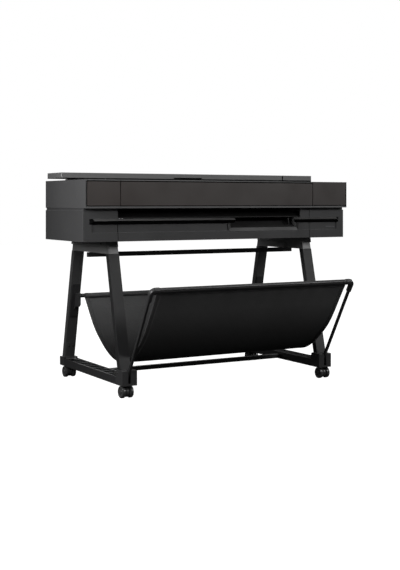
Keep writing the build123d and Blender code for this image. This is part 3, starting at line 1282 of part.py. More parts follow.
def make_parts():
    """Every sub-part by its node name."""
    parts = {
        "base_pan": base_pan(),
        "lower_left_end": lower_left_end(),
        "lower_right_end": lower_right_end(),
        "lower_front_panel": lower_front_panel(),
        "front_rail": front_rail(),
        "sheet_scoop": sheet_scoop(),
        "rear_cover": rear_cover(),
        "left_front_cover": left_front_cover(),
        "left_front_panel": left_front_panel(),
        "left_side_cover": left_side_cover(),
        "right_side_cover": right_side_cover(),
        "top_deck": top_deck(),
        "front_window": front_window(),
        "window_panel": window_panel(),
        "ink_door": ink_door(),
        "ink_door_panel": ink_door_panel(),
        "roll_cover": roll_cover(),
        "control_panel": control_panel(),
        "touch_screen": touch_screen(),
        "power_button": power_button(),
        "side_plates": side_plates(),
        "platen": platen(),
        "cutter": cutter(),
        "feed_roller": feed_roller(),
        "pinch_rollers": pinch_rollers(),
        "carriage_beam": carriage_beam(),
        "guide_rod": guide_rod(),
        "carriage": carriage(),
        "drive_belt": drive_belt(),
        "drive_pulley": drive_pulley(),
        "idler_pulley": idler_pulley(),
        "drive_motors": drive_motors(),
        "roll_spindle": roll_spindle(),
        "spindle_hubs": spindle_hubs(),
        "service_station": service_station(),
        "ink_cartridges": ink_cartridges(),
        "electronics_box": electronics_box(),
        "inlet_socket": inlet_socket(),
        "sheet_guide": sheet_guide(),
        "front_legs": both_sides(front_leg),
        "rear_legs": rear_legs(),
        "foot_beams": both_sides(foot_beam),
        "foot_end_caps": foot_end_caps(),
        "top_brackets": both_sides(top_bracket),
        "crossbars": crossbars(),
        "basket_arms": both_sides(arm_shape),
        "basket_elbows": both_sides(elbow),
        "basket_front_tube": front_tube_shape(),
        "basket_rear_tube": rear_tube(),
        "basket_rear_clamps": both_sides(rear_clamp),
        "basket_fabric": basket_fabric(),
        "screws": screws(),
    }
    corners = {
        "front_left": (-1, FRONT_LEG_FOOT_BACK),
        "front_right": (1, FRONT_LEG_FOOT_BACK),
        "rear_left": (-1, REAR_LEG_FOOT_BACK),
        "rear_right": (1, REAR_LEG_FOOT_BACK),
    }
    for corner, (side, foot_back) in corners.items():
        parts["caster_horn_" + corner] = caster_horn(side, back(foot_back))
        parts["caster_wheels_" + corner] = caster_wheels(side, back(foot_back))
    return parts


os.makedirs("parts", exist_ok=True)
for node, shape in make_parts().items():
    export_step(shape, "parts/" + node + ".step")
    print(node, len(shape.solids()), "solid(s)")
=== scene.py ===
# %% [markdown]
# # A large format plotter on its stand
# The plotter is a long dark housing on two wheeled A-frames, with a cloth basket that catches the prints.
# Its frame, hinges, rollers and covers come from the CAD model, which this script loads and never moves.
# What is made here is the look: finishes for every CAD piece, and new meshes where a CAD solid is only
# a stand-in, such as the cloth, the casters, the moulded corners of the basket and the screws.
# All lengths are in metres, in the same frame as the CAD: +X to the right, +Y to the rear, +Z up.

import json
import math

import bmesh
import bpy
import numpy as np
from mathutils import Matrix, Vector
from mathutils.geometry import interpolate_bezier


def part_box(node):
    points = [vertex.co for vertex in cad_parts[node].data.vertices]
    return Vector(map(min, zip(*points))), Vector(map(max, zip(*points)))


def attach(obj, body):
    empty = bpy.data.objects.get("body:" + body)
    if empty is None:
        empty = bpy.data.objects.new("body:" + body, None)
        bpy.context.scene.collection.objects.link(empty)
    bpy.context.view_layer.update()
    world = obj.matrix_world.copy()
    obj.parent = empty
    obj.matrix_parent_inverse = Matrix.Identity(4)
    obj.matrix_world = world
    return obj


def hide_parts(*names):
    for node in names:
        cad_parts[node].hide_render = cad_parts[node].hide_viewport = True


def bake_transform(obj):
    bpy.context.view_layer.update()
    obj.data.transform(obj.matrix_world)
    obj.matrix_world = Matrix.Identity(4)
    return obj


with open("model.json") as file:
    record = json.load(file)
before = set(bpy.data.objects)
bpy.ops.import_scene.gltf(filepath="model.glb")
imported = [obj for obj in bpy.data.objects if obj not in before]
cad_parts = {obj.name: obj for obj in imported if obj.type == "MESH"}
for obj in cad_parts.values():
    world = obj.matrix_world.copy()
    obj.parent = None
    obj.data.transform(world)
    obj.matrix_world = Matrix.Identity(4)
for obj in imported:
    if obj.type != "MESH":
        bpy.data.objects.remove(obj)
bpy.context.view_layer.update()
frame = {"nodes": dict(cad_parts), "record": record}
nodes = frame["nodes"]

# %% [markdown]
# ## Where things are
# New pieces have to meet the CAD pieces, so every place is read from the boxes of CAD nodes. A round
# tube's axis is the middle of its box, and its radius is half its height.

# %% Read the places of the tubes, feet and faces
MM = 0.001
PIVOT_AHEAD = 46 * MM
PIVOT_HEIGHT = 88 * MM


def middle(node):
    """Centre of a CAD node's box."""
    low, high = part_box(node)
    return (low + high) / 2


def tube(node):
    """Axis point and radius of a straight tube that runs along X."""
    low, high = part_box(node)
    return middle(node), (high.z - low.z) / 2


front_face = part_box("window_panel")[0].y
front_tube, front_tube_r = tube("basket_front_tube")
rear_tube, rear_tube_r = tube("basket_rear_tube")
foot_low, foot_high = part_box("foot_beams")
arm_pivot = Vector((0, front_face - PIVOT_AHEAD, PIVOT_HEIGHT))
arm_down = (arm_pivot - Vector((0, front_tube.y, front_tube.z))).normalized()
print("upper front face at Y", round(front_face, 4))
print("front tube at", [round(v, 4) for v in front_tube], "radius", round(front_tube_r, 4))
print("basket arms fold about", [round(v, 4) for v in arm_pivot])

# %% [markdown]
# ## The camera
# The view is that of a visitor who stands a few steps away, to the left of the machine, and looks at its
# left front corner at desk height. A level camera keeps the upright edges upright, as an architect's
# lens does, and the vertical shift then lowers the picture's middle without tilting anything.

# %% Place the camera
CAMERA_X = -2.3486
CAMERA_BEFORE_FACE = 3.9013
CAMERA_HEIGHT = 0.8032
CAMERA_TURN = math.radians(-29.664)

camera_data = bpy.data.cameras.new("view_camera")
camera_data.lens = 66.14
camera_data.shift_y = -0.1469
camera_data.clip_end = 60
camera = bpy.data.objects.new("view_camera", camera_data)
camera.location = (CAMERA_X, front_face - CAMERA_BEFORE_FACE, CAMERA_HEIGHT)
camera.rotation_euler = (math.radians(90), 0, CAMERA_TURN)
bpy.context.scene.collection.objects.link(camera)
bpy.context.scene.camera = camera
print("camera at", [round(v, 3) for v in camera.location])

# %% [markdown]
# ## Node helpers
# A material is a small network. Wiring it node by node takes many lines, so `put` makes one node, sets
# its settings, and fills each input with either a plain value or a link from another node's socket. The
# short helpers after it stand for the nodes that come up again and again: arithmetic, a change of range,
# a noise, and a mix of two colours.

# %% A helper that adds one shader node
def put(tree, kind, inputs=None, **settings):
    """New node in tree. inputs maps a socket's name or number to a value or to a socket to link from."""
    made = tree.nodes.new("ShaderNode" + kind)
    for name, value in settings.items():
        setattr(made, name, value)
    for name, value in (inputs or {}).items():
        if isinstance(value, bpy.types.NodeSocket):
            tree.links.new(value, made.inputs[name])
        else:
            made.inputs[name].default_value = value
    return made


# %% Short helpers for the commonest nodes
def maths(tree, operation, first, second=0.5, **settings):
    """Arithmetic on two numbers or sockets."""
    return put(tree, "Math", {0: first, 1: second}, operation=operation, **settings).outputs[0]


def remap(tree, value, start, end, to_start=0.0, to_end=1.0):
    """Straight-line change of range."""
    limits = {"Value": value, "From Min": start, "From Max": end, "To Min": to_start, "To Max": to_end}
    return put(tree, "MapRange", limits).outputs["Result"]


def own_place(tree):
    """Place on the piece in its own coordinates, in metres."""
    return put(tree, "TexCoord").outputs["Object"]


def noise(tree, place, scale, detail, roughness=0.5):
    """Soft noise between 0 and 1."""
    settings = {"Vector": place, "Scale": scale, "Detail": detail, "Roughness": roughness}
    return put(tree, "TexNoise", settings).outputs["Fac"]


def mix(tree, share, first, second):
    """Colour between two, each a plain (red, green, blue) or a socket."""
    ends = [c if isinstance(c, bpy.types.NodeSocket) else (*c, 1) for c in (first, second)]
    made = put(tree, "Mix", {"Factor": share, "A": ends[0], "B": ends[1]}, data_type="RGBA")
    return made.outputs["Result"]


# %% Groups and materials
def new_group(name, inputs, outputs):
    """Empty shader node group with named number sockets, and its input and output nodes."""
    tree = bpy.data.node_groups.new(name, "ShaderNodeTree")
    for label, value in inputs.items():
        socket = tree.interface.new_socket(label, in_out="INPUT", socket_type="NodeSocketFloat")
        socket.default_value = value
    for label in outputs:
        tree.interface.new_socket(label, in_out="OUTPUT", socket_type="NodeSocketFloat")
    return tree, tree.nodes.new("NodeGroupInput").outputs, tree.nodes.new("NodeGroupOutput").inputs


def use_group(tree, group, **values):
    """The group placed in a material with its own values; returns its outputs."""
    made = tree.nodes.new("ShaderNodeGroup")
    made.node_tree = group
    for label, value in values.items():
        made.inputs[label.replace("_", " ")].default_value = value
    return made.outputs


def new_material(name, **constants):
    """Material with a Principled shader, whose plain values come first. Returns it, its tree and shader."""
    material = bpy.data.materials.new(name)
    material.use_nodes = True
    shader = material.node_tree.nodes["Principled BSDF"]
    for label, value in constants.items():
        shader.inputs[label.replace("_", " ")].default_value = value
    return material, material.node_tree, shader


def feed(tree, shader, **sources):
    """Links each source to the shader input of that name."""
    for label, source in sources.items():
        tree.links.new(source, shader.inputs[label.replace("_", " ")])


def relief_normal(tree, height, depth):
    """Normal bent by a relief of the given depth in metres."""
    return put(tree, "Bump", {"Height": height, "Distance": depth}).outputs["Normal"]


# %% [markdown]
# ## Moulded grain
# Large plastic covers are moulded in spark-eroded tools, which leave a fine pebbled grain, about half a
# millimetre across. It hides scratches and breaks up reflections. The same effect with other values
# also gives the orange peel of powder coat, so it is one group: fine cells for the height, and a slow
# cloudy mottle that varies the gloss a little over a hand's width.

# %% Group: fine grain and slow mottle
grain, taken, given = new_group(
    "fine_grain", {"Cells per metre": 1600.0, "Clouds per metre": 7.0}, ["Height", "Mottle"])
place = own_place(grain)
grain.links.new(noise(grain, place, taken["Cells per metre"], 2.0, 0.6), given["Height"])
grain.links.new(noise(grain, place, taken["Clouds per metre"], 3.0), given["Mottle"])
print("group", grain.name)

# %% [markdown]
# ## Worn edges and painted edge highlights
# Handled and knocked edges turn lighter and shinier. The Bevel node gives the normal that a rounded edge
# would have. Where that differs from the true normal there is an edge, and noise breaks the line up so
# that it doesn't look drawn with a pen. On the scoop the same mask, at full strength under a light edge
# colour, is a painted highlight along its edges.

# %% Group: a broken mask along edges
EDGE_WIDTH = 1.5 * MM
EDGE_GAIN = 3.5

edge_wear, taken, given = new_group("edge_wear", {"Width": EDGE_WIDTH, "Breakup": 60.0}, ["Mask"])
rounded = put(edge_wear, "Bevel", {"Radius": taken["Width"]}, samples=6)
true_normal = put(edge_wear, "NewGeometry").outputs["Normal"]
match = put(
    edge_wear, "VectorMath", {0: rounded.outputs["Normal"], 1: true_normal}, operation="DOT_PRODUCT")
differs = maths(edge_wear, "SUBTRACT", 1.0, match.outputs["Value"])
stronger = maths(edge_wear, "MULTIPLY", differs, EDGE_GAIN, use_clamp=True)
patches = noise(edge_wear, own_place(edge_wear), taken["Breakup"], 4.0)
worn = maths(edge_wear, "MULTIPLY", stronger, remap(edge_wear, patches, 0.35, 0.65))
edge_wear.links.new(worn, given["Mask"])
print("group", edge_wear.name)

# %% [markdown]
# ## Dust
# An office machine gathers a thin film of dust on whatever faces up. The mask follows the normal's
# upward part, thinned by a soft noise, and each material decides how much of it to show.

# %% Group: dust on upward faces
dust, taken, given = new_group("settled_dust", {"Amount": 0.3}, ["Mask"])
upward = put(dust, "SeparateXYZ", {0: put(dust, "NewGeometry").outputs["Normal"]}).outputs["Z"]
facing_up = remap(dust, upward, 0.55, 1.0)
drifts = noise(dust, own_place(dust), 14.0, 6.0, 0.7)
film = maths(dust, "MULTIPLY", facing_up, remap(dust, drifts, 0.3, 0.75))
dust.links.new(maths(dust, "MULTIPLY", film, taken["Amount"]), given["Mask"])
print("group", dust.name)

# %% [markdown]
# ## Painted shade at joints and edges
# Where covers meet there is a step or a return edge that light hardly reaches. A mask that is 1 inside a
# chosen box paints that shade into a material as near black. Its edge is sharp, so the line stays crisp.
# The same boxes paint shade under the front rail's nose, along the lid's lower edge and on the deck's rim
# under the lid. The mask also feeds Metallic, because a black metal mirrors nothing, while black plastic
# keeps a grey sheen, so that the painted shade shows no reflection.

# %% Group: a mask inside a box
LIMITS = [axis + " " + end for axis in "XYZ" for end in ("low", "high")]
painted_shade_box, taken, given = new_group("painted_shade_box", {label: 0.0 for label in LIMITS}, ["Mask"])
place = put(painted_shade_box, "SeparateXYZ", {0: own_place(painted_shade_box)})
inside = None
for label in LIMITS:
    axis, end = label.split()
    kind = "GREATER_THAN" if end == "low" else "LESS_THAN"
    test = maths(painted_shade_box, kind, place.outputs[axis], taken[label])
    inside = test if inside is None else maths(painted_shade_box, "MULTIPLY", inside, test)
painted_shade_box.links.new(inside, given["Mask"])


def use_box(tree, low, high):
    """Mask of the box between two corners."""
    limits = {axis + "_low": value for axis, value in zip("XYZ", low)}
    limits.update({axis + "_high": value for axis, value in zip("XYZ", high)})
    return use_group(tree, painted_shade_box, **limits)["Mask"]


print("group", painted_shade_box.name)

# %% [markdown]
# ## A painted or moulded finish
# Most of the machine is one of two finishes: moulded plastic or powder-coated steel. Both are a body
# colour, a lighter colour on worn edges, a little dust, grain in the relief and a mottled gloss; on the
# scoop the edge colour is a painted highlight, and boxes of painted shade darken some finishes. One
# function builds that network, and each material below calls it with its own colours and depths. The
# shader itself stays in the material, so that plain values such as the specular level sit on its sockets.

# %% The shared network of plastics and paints
DUST_COLOUR = (0.32, 0.31, 0.29)
# Near black of painted shade, for the boxes of shade in a finish.
PAINTED_SHADE_BLACK = (0.002, 0.002, 0.002)
MOTTLE_SHADE = 0.88
GLOSS_SWING = 0.05


def coated(
        name, colour, edge_colour, roughness, cells=1600.0, relief=0.00006, wear_and_edge_light=0.5, dusty=0.12,
        specular=0.5, shaded=()):
    """Plastic or paint. relief is the grain's depth in metres; shaded holds corners of boxes of painted
    shade.
    """
    material, tree, shader = new_material(name, Specular_IOR_Level=specular)
    fine = use_group(tree, grain, Cells_per_metre=cells)
    edges = use_group(tree, edge_wear)["Mask"]
    film = use_group(tree, dust, Amount=dusty)["Mask"]
    tone = mix(tree, fine["Mottle"], tuple(MOTTLE_SHADE * c for c in colour), colour)
    tone = mix(tree, maths(tree, "MULTIPLY", edges, wear_and_edge_light), tone, edge_colour)
    tone = mix(tree, film, tone, DUST_COLOUR)
    shade_metallic = None
    # Each box paints shade: near black, and metallic so that no reflection shows in it.
    for low, high in shaded:
        shade_mask = use_box(tree, low, high)
        tone = mix(tree, shade_mask, tone, PAINTED_SHADE_BLACK)
        shade_metallic = maths(tree, "MAXIMUM", shade_mask, 0.0 if shade_metallic is None else shade_metallic)
    if shade_metallic is not None:
        feed(tree, shader, Metallic=shade_metallic)
    gloss = remap(tree, fine["Mottle"], 0.3, 0.7, roughness - GLOSS_SWING, roughness + GLOSS_SWING)
    normal = relief_normal(tree, fine["Height"], relief)
    feed(tree, shader, Base_Color=tone, Roughness=gloss, Normal=normal)
    return material


# %% [markdown]
# ## The finishes of the housing and the stand
# The covers are dark neutral grey, the panels let into the front are a brown-grey with almost no grain,
# and the lid is a clearly lighter grey. The lower storey has a darker copy of the cover grey, as painted
# shade. What lies inside is nearly black so that the slot looks deep, and the platen takes that black too,
# as painted shade in the slot. The scoop is near black as painted shade, with a painted highlight along its
# edges. The stand is powder-coated steel with coarser relief; its front legs and feet are darker copies of
# the stand paint, as painted shade, and its rear legs and brackets lighter copies, as painted light. The
# rollers and the belt are matt rubber with little wear, and the wheels are hard glossy nylon, scuffed round
# the tread.

# %% Boxes of painted shade at the joints and edges of the housing
def around(node, edge=4.6 * MM, below=3.1 * MM):
    """Box of the painted shade line round a face panel, wider at the sides and the top than below."""
    low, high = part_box(node)
    nearest, farthest = front_face - 1 * MM, front_face + 9 * MM
    return (low.x - edge, nearest, low.z - below), (high.x + edge, farthest, high.z + edge)


def across(x, half=0.9 * MM):
    """Thin box of painted shade across the whole housing at a seam."""
    return (x - half, -1, 0.6), (x + half, 1, 1)


# Painted shade in the gaps round the three front panels and at the two seams of the lower storey.
panel_shade_lines = [around(node) for node in ("left_front_panel", "window_panel", "ink_door_panel")]
lower_low, lower_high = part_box("lower_front_panel")
lower_seam_shade = [across(lower_low.x), across(lower_high.x)]
# Painted shade on the deck's rim, in the slit under the overhanging lid.
deck_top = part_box("top_deck")[1].z
deck_rim_shade = ((-1, -1, deck_top - 8.4 * MM), (1, 1, deck_top - 0.3 * MM))
# Painted shade on the front rail: black below its nose and on its slanted ends.
rail_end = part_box("front_rail")[1]
nose = rail_end.z - 8.8 * MM
slope = rail_end.x - 17.5 * MM
rail_shade = [((-1, -1, 0), (1, 1, nose)), ((-1, -1, 0), (-slope, 1, 1)), ((slope, -1, 0), (1, 1, 1))]
# Painted shade on the lid: in its seam at the right end and along its lower edge.
lid_low, lid_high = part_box("roll_cover")
lid_shade = [across(lid_high.x + 2 * MM, 3 * MM), ((-1, -1, 0.8), (1, 1, lid_low.z + 2.5 * MM))]
print("dark boxes:", sum(map(len, (panel_shade_lines, lower_seam_shade, [deck_rim_shade], rail_shade, lid_shade))))

# %% [markdown]
# Each finish is a row: its colour, the colour of its worn edges (on the scoop, of its painted highlight),
# its roughness, and what else differs from the usual. Some rows are darker copies of one paint, as painted
# shade, and some lighter copies, as painted light. Colours are linear values, so 0.06 is a dark grey and
# 0.2 a middle grey.

# %% Plastics and paints
GREY = (0.062, 0.062, 0.063)
PAINT = (0.028, 0.028, 0.029)


def even(value):
    """Neutral grey."""
    return (value, value, value)


POWDER = {"cells": 700, "relief": 0.15 * MM}
FINISHES = {
    # The housing's boxes paint shade round the front panels.
    "housing": (GREY, even(0.1), 0.42, {"shaded": panel_shade_lines}),
    # A darker copy of the housing grey, as painted shade on the lower storey; its boxes paint shade at the
    # seams.
    "lower_housing": ((0.045, 0.045, 0.046), even(0.08), 0.42, {"shaded": lower_seam_shade}),
    # The deck's box paints shade on its rim under the lid.
    "deck": (even(0.02), even(0.05), 0.42, {"shaded": [deck_rim_shade]}),
    # Near black as painted shade in the scoop; its strong light edges are a painted highlight.
    "scoop": (even(0.016), even(0.12), 0.5, {"wear_and_edge_light": 0.9, "dusty": 0.02}),
    # The rail's boxes paint shade below its nose and on its ends; its own grey shows on the top bevel.
    "rail": (even(0.07), even(0.14), 0.4, {"shaded": rail_shade}),
    "face_panel": (
        (0.054, 0.046, 0.043), (0.06, 0.052, 0.049), 0.36,
        {"cells": 2600, "relief": 0.02 * MM, "wear_and_edge_light": 0.3}),
    # The lid's boxes paint shade in its seam and along its lower edge.
    "lid": (even(0.13), even(0.2), 0.4, {"shaded": lid_shade}),
    "inner_black": (even(0.004), even(0.01), 0.5, {"wear_and_edge_light": 0.2, "dusty": 0.02, "specular": 0.3}),
    "carriage_plastic": ((0.08, 0.08, 0.085), even(0.16), 0.4, {}),
    "stand_paint": (PAINT, even(0.06), 0.4, {**POWDER, "wear_and_edge_light": 0.7}),
    # Front legs and feet are darker copies of the stand paint, as painted shade; rear legs and brackets are
    # lighter copies, as painted light.
    "front_legs_painted_shade": ((0.01, 0.01, 0.0105), even(0.03), 0.55, POWDER),
    "rear_legs_painted_light": ((0.06, 0.06, 0.061), even(0.09), 0.4, POWDER),
    "feet_painted_shade": ((0.02, 0.02, 0.021), even(0.03), 0.5, {"cells": 700, "relief": 0.1 * MM, "dusty": 0.02}),
    "brackets_painted_light": (even(0.19), even(0.22), 0.4, POWDER),
    "stand_plastic": ((0.035, 0.035, 0.036), even(0.07), 0.4, {"cells": 1200, "wear_and_edge_light": 0.6}),
    "caster_plastic": ((0.045, 0.045, 0.046), even(0.05), 0.18, {"relief": 0.01 * MM, "wear_and_edge_light": 0.4}),
    "screw_steel": (even(0.012), even(0.1), 0.4, {"relief": 0.02 * MM, "wear_and_edge_light": 0.6}),
    "roller_rubber": (
        even(0.02), even(0.03), 0.75, {"cells": 900, "relief": 0.08 * MM, "wear_and_edge_light": 0.1, "specular": 0.3}),
    "wheel_tread": ((0.05, 0.05, 0.051), even(0.08), 0.2, {"cells": 500, "relief": 0.04 * MM, "wear_and_edge_light": 0.5}),
}
finish = {
    name: coated(name, colour, edge, roughness, **rest)
    for name, (colour, edge, roughness, rest) in FINISHES.items()}
print(len(finish), "plastics, paints and rubbers")

# %% [markdown]
# ## Bare metals
# Sheet steel shows the long fine scratches of rolling, and turned shafts show rings round their axis.
# Both are noise stretched far along one direction: the stretch comes from scaling the coordinates
# unevenly before the noise reads them. The scratches vary roughness and a very shallow bump.

# %% Group: scratches along one direction
scratches, taken, given = new_group(
    "long_scratches", {"Along": 4.0, "Across": 900.0}, ["Height", "Streaks"])
place = own_place(scratches)
stretch = put(scratches, "CombineXYZ", {"X": taken["Along"], "Y": taken["Across"], "Z": taken["Across"]})
uneven = put(scratches, "VectorMath", {0: place, 1: stretch.outputs[0]}, operation="MULTIPLY")
scratches.links.new(noise(scratches, uneven.outputs[0], 1.0, 3.0), given["Height"])
scratches.links.new(noise(scratches, place, 9.0, 4.0), given["Streaks"])


def bare_metal(name, colour, roughness, along=4.0, across=900.0):
    """Uncoated steel or aluminium with scratches and uneven gloss."""
    material, tree, shader = new_material(name, Metallic=1.0)
    lines = use_group(tree, scratches, Along=along, Across=across)
    tone = mix(tree, lines["Streaks"], tuple(0.75 * c for c in colour), colour)
    gloss = remap(tree, lines["Height"], 0.0, 1.0, roughness - 0.08, roughness + 0.1)
    normal = relief_normal(tree, lines["Height"], 0.02 * MM)
    feed(tree, shader, Base_Color=tone, Roughness=gloss, Normal=normal)
    return material


finish["sheet_steel"] = bare_metal("sheet_steel", (0.42, 0.43, 0.44), 0.4)
finish["bright_steel"] = bare_metal("bright_steel", (0.6, 0.6, 0.61), 0.26, along=700.0, across=30.0)
print("metals", sorted(set(finish) & {"sheet_steel", "bright_steel"}))

# %% [markdown]
# ## Ink and glass
# The four cartridges differ only in colour, so one material picks the colour from the place along X in
# hard steps. The screen is black glass with a thin glossy coat.

# %% Ink cartridges: one colour after the other
def ink_finish():
    """Glossy plastic whose colour steps from cartridge to cartridge."""
    material, tree, shader = new_material("ink", Roughness=0.22)
    low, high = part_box("ink_cartridges")
    sideways = put(tree, "SeparateXYZ", {0: own_place(tree)}).outputs["X"]
    ramp = put(tree, "ValToRGB", {"Fac": remap(tree, sideways, low.x, high.x)})
    ramp.color_ramp.interpolation = "CONSTANT"
    colours = [(0.01, 0.01, 0.012, 1), (0.0, 0.12, 0.3, 1), (0.35, 0.01, 0.09, 1), (0.55, 0.38, 0.01, 1)]
    stops = ramp.color_ramp.elements
    for step, colour in enumerate(colours):
        stop = stops[0] if step == 0 else stops.new(step / len(colours))
        stop.color = colour
    stops.remove(stops[-1])
    normal = relief_normal(tree, use_group(tree, grain)["Height"], 0.03 * MM)
    feed(tree, shader, Base_Color=ramp.outputs["Color"], Normal=normal)
    return material


finish["ink"] = ink_finish()


# %% Touch screen: black glass with faint smears
def screen_finish():
    """Dark glass; a cloudy noise stands for the smears of fingers."""
    material, tree, shader = new_material("screen_glass", Coat_Weight=0.5, Coat_Roughness=0.03)
    smears = use_group(tree, grain, Cells_per_metre=90.0, Clouds_per_metre=40.0)["Mottle"]
    tone = mix(tree, smears, (0.006, 0.007, 0.009), (0.012, 0.013, 0.016))
    feed(tree, shader, Base_Color=tone, Roughness=remap(tree, smears, 0.0, 1.0, 0.04, 0.16))
    return material


finish["screen_glass"] = screen_finish()
print("finishes so far:", len(finish))

# %% [markdown]
# ## Woven cloth
# The basket is black polyester canvas in plain weave, about 18 threads to the centimetre. Warp and weft
# are two waves at right angles, and where they cross alternately one thread is on top, which a product
# of the two waves gives. The cloth piece carries its own flat coordinates in metres as a UV map, so the
# threads follow the cloth round its curve instead of cutting through it.

# %% Group: plain weave from flat coordinates
THREADS = 1800.0

weave, taken, given = new_group("plain_weave", {"Threads per metre": THREADS}, ["Height", "Gap"])
flat = put(weave, "SeparateXYZ", {0: put(weave, "TexCoord").outputs["UV"]})
turns = maths(weave, "MULTIPLY", taken["Threads per metre"], math.pi)
waves = [maths(weave, "SINE", maths(weave, "MULTIPLY", flat.outputs[axis], turns)) for axis in ("X", "Y")]
over_under = maths(weave, "MULTIPLY", *waves)
weave.links.new(remap(weave, over_under, -1.0, 1.0), given["Height"])
weave.links.new(remap(weave, maths(weave, "ABSOLUTE", over_under), 0.0, 0.3, 1.0, 0.0), given["Gap"])


def cloth_finish():
    """Black canvas: weave in the relief, darker gaps, pale lint, and painted shade low in the basket."""
    material, tree, shader = new_material(
        "fabric", Roughness=0.62, Specular_IOR_Level=0.15, Sheen_Weight=0.06, Sheen_Roughness=0.4)
    threads = use_group(tree, weave)
    slow = use_group(tree, grain, Cells_per_metre=260.0, Clouds_per_metre=5.0)
    lint = use_group(tree, dust, Amount=0.06)
    tone = mix(tree, slow["Mottle"], (0.09, 0.09, 0.091), (0.12, 0.12, 0.121))
    tone = mix(tree, threads["Gap"], tone, even(0.004))
    tone = mix(tree, lint["Mask"], tone, (0.25, 0.25, 0.24))
    # Painted shade: the colour falls to near black towards the bottom of the basket.
    rise = put(tree, "SeparateXYZ", {0: own_place(tree)}).outputs["Z"]
    tone = mix(tree, remap(tree, rise, 0.14, 0.36), even(0.0015), tone)
    feed(tree, shader, Base_Color=tone, Normal=relief_normal(tree, threads["Height"], 0.1 * MM))
    return material


finish["fabric"] = cloth_finish()
print("fabric weave of", round(THREADS), "threads per metre")

# %% [markdown]
# ## Dressing the CAD pieces
# Each CAD node names its material slot in the record, so one loop paints them all. CAD edges are
# perfectly sharp, which no moulding or folded sheet is, and a sharp edge never catches a highlight. A
# Weld modifier joins the doubled corner points of the imported mesh, and a Bevel modifier then rounds
# the edges. Modifiers leave the CAD mesh itself untouched. Weighted normals keep the flat faces flat.

# %% Paint every CAD node and round its edges
EDGE_ROUND = {
    "housing": 0.9 * MM, "face_panel": 0.5 * MM, "lid": 1.2 * MM, "stand_paint": 1.1 * MM,
    "stand_plastic": 1.4 * MM, "carriage_plastic": 0.8 * MM, "inner_black": 0.4 * MM, "ink": 0.8 * MM,
}
SHARP_ABOVE = math.radians(32)


def round_edges(obj, width):
    """Weld, bevel and weighted normals, as modifiers."""
    weld = obj.modifiers.new("join_corners", "WELD")
    weld.merge_threshold = 0.01 * MM
    bevel = obj.modifiers.new("round_edges", "BEVEL")
    bevel.width = width
    bevel.segments = 2
    bevel.limit_method = "ANGLE"
    bevel.angle_limit = SHARP_ABOVE
    normals = obj.modifiers.new("flat_faces", "WEIGHTED_NORMAL")
    normals.keep_sharp = True


slot_of = {part["node"]: part["material_slot"] for part in frame["record"]["subparts"]}
# Nodes that take a finish other than their slot's; some are the painted light and painted shade copies
# above.
OWN_FINISH = {
    # The platen takes the inside's near black, as painted shade in the exit slot.
    "top_deck": "deck", "front_rail": "rail", "platen": "inner_black", "foot_beams": "feet_painted_shade",
    "top_brackets": "brackets_painted_light", "front_legs": "front_legs_painted_shade", "rear_legs": "rear_legs_painted_light",
    "sheet_scoop": "scoop",
}
# The lower storey takes the darker copy of the housing grey, as painted shade.
for name in ("lower_left_end", "lower_right_end", "lower_front_panel", "base_pan"):
    OWN_FINISH[name] = "lower_housing"
for name, obj in nodes.items():
    slot_name = slot_of[name]
    obj.data.materials.clear()
    obj.data.materials.append(finish[OWN_FINISH.get(name, slot_name)])
    if slot_name in EDGE_ROUND and name != "foot_beams":
        round_edges(obj, EDGE_ROUND[slot_name])
print("painted", len(nodes), "CAD nodes")

# %% [markdown]
# ## Mesh helpers
# Rails, wheels, elbows and caps are all skins over rings: rings of points, one after the other, joined by
# quads and closed at both ends. A ring can be any outline, so the same helper makes a turned wheel, an
# extruded rail and a bent elbow.

# %% Helpers that turn rings of points into pieces
def add_piece(name, points, faces, slot_name, body, replaces=(), sharp=SHARP_ABOVE):
    """New mesh piece that rides on a body. Edges turning by more than sharp stay crisp."""
    mesh = bpy.data.meshes.new(name)
    mesh.from_pydata([tuple(p) for p in points], [], faces)
    shape = bmesh.new()
    shape.from_mesh(mesh)
    bmesh.ops.recalc_face_normals(shape, faces=shape.faces)
    for face in shape.faces:
        face.smooth = True
    for edge in shape.edges:
        edge.smooth = edge.calc_face_angle(0.0) < sharp
    shape.to_mesh(mesh)
    shape.free()
    mesh.materials.append(finish[slot_name])
    piece = bpy.data.objects.new(name, mesh)
    bpy.context.scene.collection.objects.link(piece)
    if body:
        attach(piece, body)
    if replaces:
        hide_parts(*replaces)
    return piece


def skin(rings):
    """Points and faces of a closed skin over rings of equally many points."""
    count = len(rings[0])
    points = [Vector(p) for ring in rings for p in ring]
    faces = [tuple(reversed(range(count)))]
    for r in range(len(rings) - 1):
        a, b = r * count, (r + 1) * count
        faces += [(a + i, a + (i + 1) % count, b + (i + 1) % count, b + i) for i in range(count)]
    faces.append(tuple(range((len(rings) - 1) * count, len(rings) * count)))
    return points, faces


def join(shapes):
    """Several (points, faces) as one."""
    points, faces = [], []
    for some_points, some_faces in shapes:
        start = len(points)
        points += list(some_points)
        faces += [tuple(start + i for i in face) for face in some_faces]
    return points, faces


def turned(profile, centre, axis="X", count=48):
    """Solid of revolution: profile holds (distance along the axis, radius), centre is on the axis."""
    rings = []
    for along, radius in profile:
        ring = []
        for i in range(count):
            t = 2 * math.pi * i / count
            a, b = radius * math.cos(t), radius * math.sin(t)
            offset = {"X": (along, a, b), "Y": (a, along, b), "Z": (a, b, along)}[axis]
            ring.append(Vector(centre) + Vector(offset))
        rings.append(ring)
    return skin(rings)


def arc(centre, radius, start, end, steps):
    """Points of an arc in a plane, angles in degrees."""
    turns = [math.radians(start + (end - start) * i / steps) for i in range(steps + 1)]
    return [(centre[0] + radius * math.cos(t), centre[1] + radius * math.sin(t)) for t in turns]


